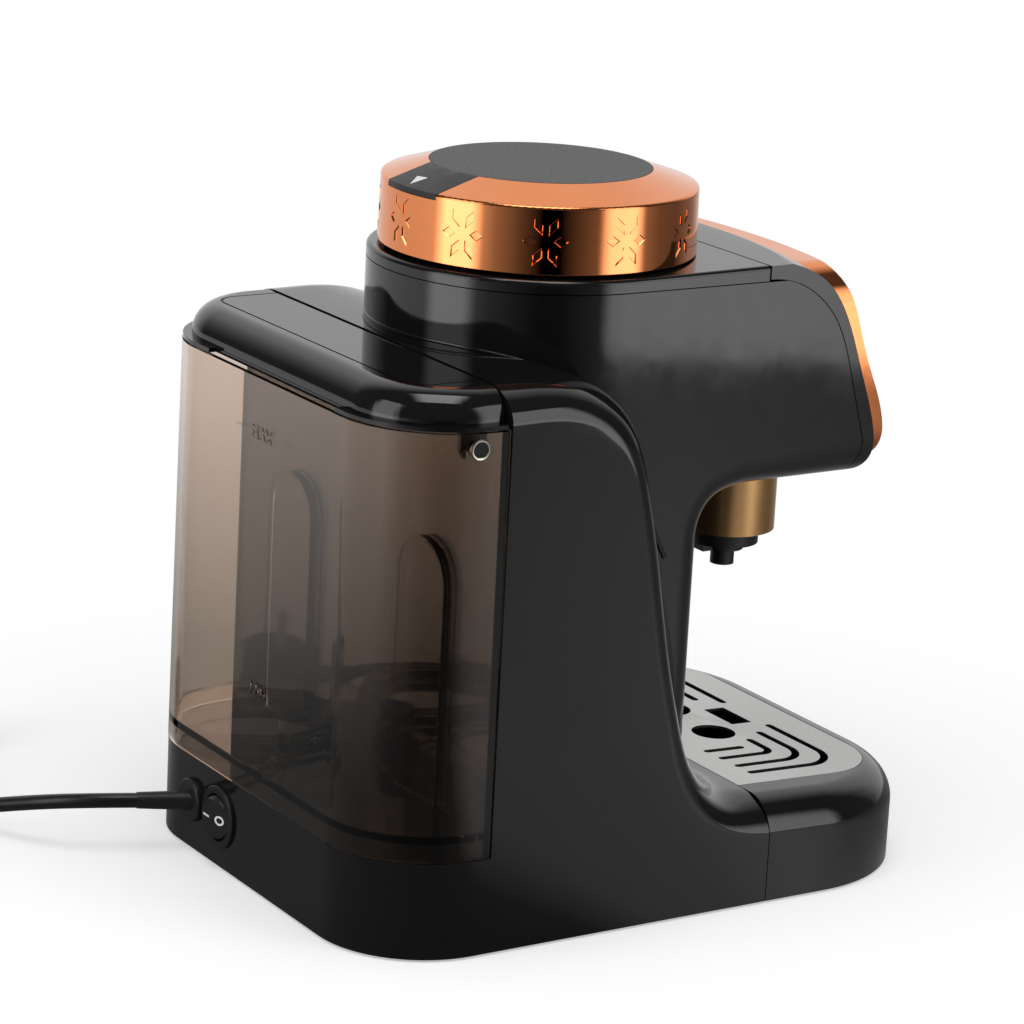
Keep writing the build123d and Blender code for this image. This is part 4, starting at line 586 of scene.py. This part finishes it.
def through_tree(piece, tree, **values):
    """The plain mesh that a geometry tree makes of a piece."""
    step = piece.modifiers.new("tree", "NODES")
    step.node_group = tree
    for socket in tree.interface.items_tree:
        if socket.in_out == "INPUT" and socket.name in values:
            step[socket.identifier] = values[socket.name]
    bpy.context.scene.collection.objects.link(piece)
    mesh = evaluated_mesh(piece)
    piece.modifiers.remove(step)
    bpy.context.scene.collection.objects.unlink(piece)
    return mesh


def copies_round_tower():
    """Tree that sets copies of a shape evenly round the tower's axis."""
    tree, given = node_tree(
        "copies_round_tower", Shape="NodeSocketGeometry", Count="NodeSocketInt", Finish="NodeSocketMaterial"
    )
    on_axis = {"Count": given["Count"], "Position": tuple(TOWER)}
    points = add_node(tree, "GeometryNodePoints", on_axis).outputs[0]
    step = add_node(tree, "ShaderNodeMath", {0: math.tau, 1: given["Count"]}, operation="DIVIDE").outputs[0]
    index = add_node(tree, "GeometryNodeInputIndex").outputs[0]
    turn = add_node(tree, "ShaderNodeMath", {0: index, 1: step}, operation="MULTIPLY").outputs[0]
    facing = add_node(tree, "ShaderNodeCombineXYZ", {"Z": turn}).outputs[0]
    placed = {"Points": points, "Instance": given["Shape"], "Rotation": facing}
    copies = add_node(tree, "GeometryNodeInstanceOnPoints", placed).outputs[0]
    return end_tree(tree, copies, given["Finish"])


def tube_along():
    """Tree that runs a round section along a curve."""
    tree, given = node_tree(
        "tube_along", Path="NodeSocketGeometry", Radius="NodeSocketFloat", Finish="NodeSocketMaterial"
    )
    round_section = {"Resolution": 12, "Radius": given["Radius"]}
    section = add_node(tree, "GeometryNodeCurvePrimitiveCircle", round_section).outputs[0]
    swept = {"Curve": given["Path"], "Profile Curve": section, "Fill Caps": True}
    tube = add_node(tree, "GeometryNodeCurveToMesh", swept).outputs[0]
    return end_tree(tree, tube, given["Finish"])


# ---------------------------------------------------------------- rosettes pressed into the copper ring

ROSETTES = 12
ROSETTE_HEIGHT = 260.4 * MM
PRESSED = 0.7 * MM                        # depth of a petal
PETAL_MOUTH = 1.2                         # size of a petal above the ring's face and at its own bottom
PETAL_BOTTOM = 0.74


def petals():
    """The six petals of a rosette as outlines across and up, in millimetres."""
    outlines = []
    for side in (1, -1):
        outlines.append([(side * 2.6, 0), (side * 5.9, 2.4), (side * 9.1, 0), (side * 5.9, -2.4)])
        for way in (1, -1):
            leaning = ((0.9, 1.7), (0.9, 6.2), (4.8, 9.7), (4.8, 5.2))
            outlines.append([(side * x, way * z) for x, z in leaning])
    return outlines


def rosette_cutter():
    """What is pressed out of the ring for one rosette: six lozenges with sloping walls, bent to the ring."""
    bm = bmesh.new()
    for outline in petals():
        middle_x = sum(x for x, z in outline) / 4
        middle_z = sum(z for x, z in outline) / 4
        rows = []
        for radius, share in ((RING_RADIUS + PRESSED, PETAL_MOUTH), (RING_RADIUS - PRESSED, PETAL_BOTTOM)):
            row = []
            for x, z in outline:
                turn = (middle_x + (x - middle_x) * share) * MM / RING_RADIUS
                height = ROSETTE_HEIGHT + (middle_z + (z - middle_z) * share) * MM
                row.append(bm.verts.new((math.cos(turn) * radius, math.sin(turn) * radius, height)))
            rows.append(row)
        for i in range(4):
            j = (i + 1) % 4
            bm.faces.new((rows[0][i], rows[0][j], rows[1][j], rows[1][i]))
        bm.faces.new(rows[0])
        bm.faces.new(rows[1][::-1])
    bmesh.ops.recalc_face_normals(bm, faces=bm.faces)
    mesh = bpy.data.meshes.new("rosette")
    bm.to_mesh(mesh)
    bm.free()
    return bpy.data.objects.new("rosette", mesh)


def make_dial_ring():
    """The copper ring with its rosettes, its side kept a true round for the reflections."""
    rosettes = through_tree(rosette_cutter(), copies_round_tower(), Count=ROSETTES, Finish=copper)
    cutter = bpy.data.objects.new("rosettes", rosettes)
    ring = smooth_copy("dial_ring", copper, cutter=cutter)
    mesh = evaluated_mesh(ring)
    ring.modifiers.clear()
    normals = [Vector(corner.vector) for corner in mesh.corner_normals]
    for face in mesh.polygons:
        out = Vector((face.center.x - TOWER.x, face.center.y - TOWER.y, 0))
        upright = abs(face.normal.z) < 0.03
        on_side = abs(out.length - RING_RADIUS) < 0.5 * MM
        facing_out = face.normal.dot(out.normalized()) > 0.98
        if upright and on_side and facing_out:
            for index in face.loop_indices:
                place = mesh.vertices[mesh.loops[index].vertex_index].co
                normals[index] = Vector((place.x - TOWER.x, place.y - TOWER.y, 0)).normalized()
    mesh.normals_split_custom_set(normals)
    ring.data = mesh


# ---------------------------------------------------------------- printed and raised marks

PROUD = 0.06 * MM                         # how far a mark stands out of its surface
SUNK = 0.1 * MM                           # and how deep its foot is set into it
REACH = 30 * MM                           # how far off its surface a mark's outline may be drawn


def surface_of(node):
    """A CAD node's surface, for finding where a mark lies on it."""
    source = frame["nodes"][node]
    corners = [source.matrix_world @ vertex.co for vertex in source.data.vertices]
    return BVHTree.FromPolygons(corners, [tuple(face.vertices) for face in source.data.polygons])


def lay_outline(bm, skin, outline, hole, along):
    """A thin closed plate on a surface: the outline and its hole, if any, are dropped onto it."""
    def dropped(points, lift):
        verts = []
        for point in points:
            hit = skin.ray_cast(point - along * REACH, along)[0]
            verts.append(bm.verts.new(hit - along * lift))
        return verts

    inner = hole or [sum(outline, Vector()) / len(outline)]
    rings = [dropped(points, lift) for points in (outline, inner) for lift in (PROUD, -SUNK)]
    count = len(outline)
    for i in range(count):
        j = (i + 1) % count
        bm.faces.new((rings[0][i], rings[0][j], rings[1][j], rings[1][i]))
        if hole:
            bm.faces.new((rings[0][i], rings[2][i], rings[2][j], rings[0][j]))
            bm.faces.new((rings[2][i], rings[3][i], rings[3][j], rings[2][j]))
            bm.faces.new((rings[1][i], rings[1][j], rings[3][j], rings[3][i]))
        else:
            bm.faces.new((rings[0][i], rings[2][0], rings[0][j]))
            bm.faces.new((rings[1][i], rings[1][j], rings[3][0]))


def make_mark(name, node, along, outlines, material):
    """One piece of ink or moulding on a node's surface, from outlines and the holes in them."""
    bm = bmesh.new()
    skin = surface_of(node)
    for outline, hole in outlines:
        lay_outline(bm, skin, outline, hole, along)
    bmesh.ops.recalc_face_normals(bm, faces=bm.faces)
    mesh = bpy.data.meshes.new(name)
    bm.to_mesh(mesh)
    bm.free()
    link(bpy.data.objects.new(name, mesh), body_of(node), material)


def oval(middle, wide, tall):
    """Points of an upright oval."""
    points = []
    count = 28
    for i in range(count):
        angle = math.tau * i / count
        points.append(middle + ACROSS * math.cos(angle) * wide / 2 + UP * math.sin(angle) * tall / 2)
    return points


def bar(middle, wide, tall):
    """Corners of an upright bar."""
    corners = ((-1, -1), (1, -1), (1, 1), (-1, 1))
    return [middle + ACROSS * x * wide / 2 + UP * z * tall / 2 for x, z in corners]


def make_marks():
    """The pointer's triangle, the switch's I and O, and the tank's level marks."""
    triangle = [Vector(place) * MM for place in ((-1.4, 72.2, 276), (3.4, 66.2, 276), (-2.6, 65.2, 276))]
    make_mark("pointer_triangle", "dial_disc", -UP, [(triangle, None)], ink)
    behind_switch = Vector((23.5, 136, 21.3)) * MM
    spread = 4.3 * MM                     # from the middle of the switch to each of its marks
    on_mark = bar(behind_switch + ACROSS * spread, 4.6 * MM, 0.8 * MM)
    make_mark("switch_on_mark", "rocker_cap", FORWARD, [(on_mark, None)], ink)
    off_middle = behind_switch - ACROSS * spread
    off_mark = (oval(off_middle, 4.6 * MM, 3.9 * MM), oval(off_middle, 2.9 * MM, 2.3 * MM))
    make_mark("switch_off_mark", "rocker_cap", FORWARD, [off_mark], ink)
    dashes = []
    for height, offsets in ((181.5, (17.3, -16.3)), (81.6, (12.0, -18.6))):
        for offset in offsets:
            behind_tank = Vector((offset, 133, height)) * MM
            dashes.append((bar(behind_tank, 7.4 * MM, 0.9 * MM), None))
    make_mark("level_dashes", "water_tank", FORWARD, dashes, smoked)
    for word, offset, height in (("MAX", 0.8, 181.2), ("MIN", -4.2, 81.6)):
        make_word(word, offset * MM, height * MM)


def make_word(word, offset, height):
    """A level word moulded on the tank's rear wall, a little proud of it."""
    half_depth = 0.15 * MM
    off_wall = 0.18 * MM                  # from the wall to the middle of the word's depth
    text = bpy.data.curves.new("level_word", "FONT")
    text.body = word
    text.size = 7.4 * MM
    text.align_x = "CENTER"
    text.align_y = "CENTER"
    text.extrude = half_depth
    holder = bpy.data.objects.new("level_word", text)
    bpy.context.scene.collection.objects.link(holder)
    mesh = evaluated_mesh(holder)
    bpy.data.objects.remove(holder)
    far_behind = Vector((offset, 200 * MM, height))
    wall = surface_of("water_tank").ray_cast(far_behind, FORWARD)[0]
    facing_back = Matrix(((-1, 0, 0), (0, 0, 1), (0, 1, 0))).to_4x4()
    mesh.transform(Matrix.Translation(wall - FORWARD * off_wall) @ facing_back)
    moulded = bpy.data.objects.new("level_word_" + word.lower(), mesh)
    link(moulded, "water_tank", smoked)


# ---------------------------------------------------------------- trim of tower and tank


def make_bead():
    """Raised bead round the tower's foot, running down both inner edges of the body's shoulders."""
    round_part = [(bearing(turn, TOWER_RADIUS) + TOWER) / MM for turn in range(15, 90, 15)]
    heights = (207.0, 214.6, 217.6, 219.0, 218.9)
    rise = ((-10, 136), (-4, 147), (0.4, 157.9), (6, 172.2), (11.4, 184.5), (18.6, 196))
    half = [(66, y, z) for y, z in rise]
    half += [(point.x, point.y, height) for point, height in zip(round_part, heights)]
    rear_middle = [(0, 79, 218.7)]
    whole = half + rear_middle + [(-x, y, z) for x, y, z in reversed(half)]
    path = bpy.data.curves.new("bead_path", "CURVE")
    path.dimensions = "3D"
    spline = path.splines.new("NURBS")
    spline.points.add(len(whole) - 1)
    for knot, place in zip(spline.points, whole):
        knot.co = (*(Vector(place) * MM), 1)
    spline.order_u = 4
    spline.use_endpoint_u = True
    spline.resolution_u = 8
    holder = bpy.data.objects.new("bead_path", path)
    mesh = through_tree(holder, tube_along(), Radius=1.05 * MM, Finish=gloss)
    shade_by_angle(mesh, 60)
    link(bpy.data.objects.new("tower_bead", mesh), MACHINE, gloss)


def lathe(name, profile, middle, axis):
    """A ring turned from a closed profile of (radius, height along the axis) points, in millimetres."""
    steps = 48
    mesh = bpy.data.meshes.new(name)
    bm = bmesh.new()
    side = axis.orthogonal().normalized()
    other = axis.cross(side)
    rings = []
    for i in range(steps):
        angle = math.tau * i / steps
        out = side * math.cos(angle) + other * math.sin(angle)
        rings.append([
            bm.verts.new(middle + out * radius * MM + axis * height * MM) for radius, height in profile
        ])
    count = len(profile)
    for i in range(steps):
        for k in range(count):
            a, b = rings[i], rings[(i + 1) % steps]
            bm.faces.new((a[k], b[k], b[(k + 1) % count], a[(k + 1) % count]))
    bmesh.ops.recalc_face_normals(bm, faces=bm.faces)
    bm.to_mesh(mesh)
    bm.free()
    shade_by_angle(mesh, 35)
    return bpy.data.objects.new(name, mesh)


def make_collars():
    """Bright collar round each end of the pins that the tank's lid turns on."""
    collar = [(3.0, -1.2), (3.0, -0.1), (3.25, 0.05), (3.65, 0.05), (3.9, -0.15), (3.95, -1.2)]
    low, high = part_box("lid_pivot_pins")
    for name, end, way in (("left_collar", low[0], -1), ("right_collar", high[0], 1)):
        turned = lathe(name, collar, Vector((end, *LID_PIVOT)), ACROSS * way)
        link(turned, "water_tank", nickel)


def make_valve_spring():
    """The valve's spring: a smoothed copy of its CAD node, given a mesh of its own."""
    spring = smooth_copy("tank_valve_spring", steel, 60)
    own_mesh(spring)


make_dial_ring()
make_valve_spring()
make_marks()
make_bead()
make_collars()

# ---------------------------------------------------------------- stage and light

# painted light and shade that gloss sees on the table, by bearing from the machine in degrees, far off and
# close by: painted pools of light towards the two softboxes and behind the machine, a painted dark gap
# towards the camera, and close by a painted shadow of the machine
FAR_PAINTED_LIGHT_SHADE = (
    (0, 0.8), (33, 0.75), (60, 0.8), (80, 0.9), (98, 0.9), (118, 0.3), (136, 0.1), (150, 0.0), (163, 0.0),
    (178, 0.1), (198, 0.25), (213, 0.5), (226, 0.3), (243, 0.15), (262, 0.12), (290, 0.25), (320, 0.8),
    (360, 0.8),
)
NEAR_PAINTED_LIGHT_SHADE = (
    (0, 0.3), (33, 0.3), (60, 0.14), (80, 0.14), (98, 0.14), (118, 0.1), (136, 0.06), (150, 0.06), (163, 0.1),
    (178, 0.42), (198, 0.5), (213, 0.75), (226, 0.4), (243, 0.2), (262, 0.15), (290, 0.25), (320, 0.5),
    (360, 0.3),
)
FAR_FROM = (0.3, 0.9)                     # metres from the machine over which the near painted light and shade gives way to the far
WHITE_FROM = (0.2, 0.36)                  # and over which the table turns plain white
TABLE_LIFT = 0.42                         # added to the lit table, so that it is nearly white near by too
ROOM_GLOW = 0.42                          # the studio's own light
BACKDROP_BEARING = 327                    # where the backdrop is brightest to gloss, in degrees
BACKDROP_RISE = math.radians(12)
BACKDROP_EDGE = (math.radians(62), math.radians(38))    # it fades in between these angles from there
BACKDROP_GLOW = (0.1, 1.1)                # how bright gloss sees the studio outside it and in it
LAMP_FADE = 0.3                           # share of a lamp's width over which each upright edge fades


def painted_light_by_bearing(made, table):
    """Painted light and shade, as an emission looked up by compass direction from the middle of the machine.
    """
    part = made.add("ShaderNodeSeparateXYZ", {"Vector": made.place}).outputs
    turn = made.add("ShaderNodeMath", {0: part["Y"], 1: part["X"]}, operation="ARCTAN2").outputs[0]
    full = made.add("ShaderNodeMath", {0: turn, 1: 1 / math.tau}, operation="MULTIPLY").outputs[0]
    share = made.add("ShaderNodeMath", {0: full, 1: 1.0}, operation="FLOORED_MODULO").outputs[0]
    scale = made.add("ShaderNodeValToRGB", {"Fac": share})
    stops = scale.color_ramp.elements
    while len(stops) < len(table):
        stops.new(0.5)
    for stop, (degrees, glow) in zip(stops, table):
        stop.position = degrees / 360
        stop.color = (glow, glow, glow, 1)
    return made.add("ShaderNodeEmission", {"Color": scale.outputs["Color"], "Strength": 1.0}).outputs[0]


def blend_over(made, value, start_and_end, first, second):
    """The first shader where the value is below this range, the second above it, and a blend between."""
    start, end = start_and_end
    share = made.add("ShaderNodeMapRange", {"Value": value, "From Min": start, "From Max": end}).outputs[0]
    return made.add("ShaderNodeMixShader", {0: share, 1: first, 2: second}).outputs[0]


def finish_by_ray(made, mirrored, seen, lighting):
    """End a recipe with a shader for gloss, one for the camera and through glass, and one for other light."""
    path = made.add("ShaderNodeLightPath").outputs
    straight = made.add(
        "ShaderNodeMath", {0: path["Is Camera Ray"], 1: path["Is Transmission Ray"]}, operation="MAXIMUM"
    ).outputs[0]
    either = made.add("ShaderNodeMixShader", {0: straight, 1: lighting, 2: seen}).outputs[0]
    every = made.add("ShaderNodeMixShader", {0: path["Is Glossy Ray"], 1: either, 2: mirrored})
    made.finish(every.outputs[0])


def white_table():
    """Matt white table: it takes the machine's shadow near by and is plain white further off. Gloss sees
    painted light and shade on it by bearing: painted pools of light, a painted dark gap towards the camera
    and a painted shadow of the machine.
    """
    made = Recipe(
        "white_table", {"Base Color": paint("#e7e7e7"), "Roughness": 1.0, "Specular IOR Level": 0.0}
    )
    matt = made.surface.outputs[0]
    away = made.add("ShaderNodeVectorMath", {0: made.place}, operation="LENGTH").outputs["Value"]
    lift = made.add("ShaderNodeEmission", {"Strength": TABLE_LIFT}).outputs[0]
    lifted = made.add("ShaderNodeAddShader", {0: matt, 1: lift}).outputs[0]
    white = made.add("ShaderNodeEmission", {"Strength": 1.0}).outputs[0]
    seen = blend_over(made, away, WHITE_FROM, lifted, white)
    # painted light and shade of the table as gloss sees it, close by and far off
    beside = painted_light_by_bearing(made, NEAR_PAINTED_LIGHT_SHADE)
    beyond = painted_light_by_bearing(made, FAR_PAINTED_LIGHT_SHADE)
    finish_by_ray(made, blend_over(made, away, FAR_FROM, beside, beyond), seen, matt)
    return made.material


def make_floor():
    """Wide table under the machine."""
    mesh = bpy.data.meshes.new("table")
    half = 8.0
    corners = [(-half, -half, 0), (half, -half, 0), (half, half, 0), (-half, half, 0)]
    mesh.from_pydata(corners, [], [(0, 1, 2, 3)])
    floor = bpy.data.objects.new("table", mesh)
    bpy.context.scene.collection.objects.link(floor)
    mesh.materials.append(white_table())


def make_world():
    """White backdrop behind the machine, as the camera, glass and gloss see it, in a dimmer studio."""
    world = bpy.data.worlds.new("studio")
    bpy.context.scene.world = world
    made = Recipe("studio", world=world)
    behind = tuple(bearing(BACKDROP_BEARING, math.cos(BACKDROP_RISE), math.sin(BACKDROP_RISE)))
    facing = made.add("ShaderNodeVectorMath", {0: made.place, 1: behind}, operation="DOT_PRODUCT")
    backdrop = made.add("ShaderNodeMapRange", {
        "Value": facing.outputs["Value"],
        "From Min": math.cos(BACKDROP_EDGE[0]), "From Max": math.cos(BACKDROP_EDGE[1]),
        "To Min": BACKDROP_GLOW[0], "To Max": BACKDROP_GLOW[1],
    })
    room = made.add("ShaderNodeBackground", {"Strength": ROOM_GLOW}).outputs[0]
    mirrored = made.add("ShaderNodeBackground", {"Strength": backdrop.outputs[0]}).outputs[0]
    white = made.add("ShaderNodeBackground", {"Strength": 1.0}).outputs[0]
    finish_by_ray(made, mirrored, white, room)


def softbox(name, place, width, height, glow, aim):
    """Rectangular lamp that fades towards its two upright edges, never seen itself but in gloss."""
    lamp = bpy.data.lights.new(name, "AREA")
    lamp.shape = "RECTANGLE"
    lamp.size = width
    lamp.size_y = height
    lamp.energy = glow * math.pi * width * height
    lamp.use_nodes = True
    tree = lamp.node_tree
    on_lamp = add_node(tree, "ShaderNodeNewGeometry").outputs["Parametric"]
    across = add_node(tree, "ShaderNodeSeparateXYZ", {0: on_lamp}).outputs["X"]
    edges = []
    for start, end in ((0.0, LAMP_FADE), (1.0, 1.0 - LAMP_FADE)):
        fade = {"Value": across, "From Min": start, "From Max": end}
        edges.append(add_node(tree, "ShaderNodeMapRange", fade, interpolation_type="SMOOTHSTEP").outputs[0])
    both = add_node(tree, "ShaderNodeMath", {0: edges[0], 1: edges[1]}, operation="MULTIPLY").outputs[0]
    tree.links.new(both, tree.nodes["Emission"].inputs["Strength"])
    holder = bpy.data.objects.new(name, lamp)
    bpy.context.scene.collection.objects.link(holder)
    holder.location = place
    holder.rotation_euler = (aim - place).to_track_quat("-Z", "Y").to_euler()
    holder.visible_camera = False
    holder.visible_transmission = False


make_floor()
make_world()
STANDING = 0.5                            # height of the middle of the two standing softboxes
softbox("left_softbox", bearing(90, 0.97, STANDING), width=0.72, height=1.0, glow=2.0, aim=UP * STANDING)
softbox("right_softbox", bearing(209, 0.98, STANDING), width=0.72, height=1.0, glow=2.0, aim=UP * STANDING)
softbox("top_softbox", bearing(147, 0.25, 1.3), width=0.9, height=0.7, glow=3.6, aim=UP * 0.15)

bpy.context.scene.view_settings.view_transform = "Standard"
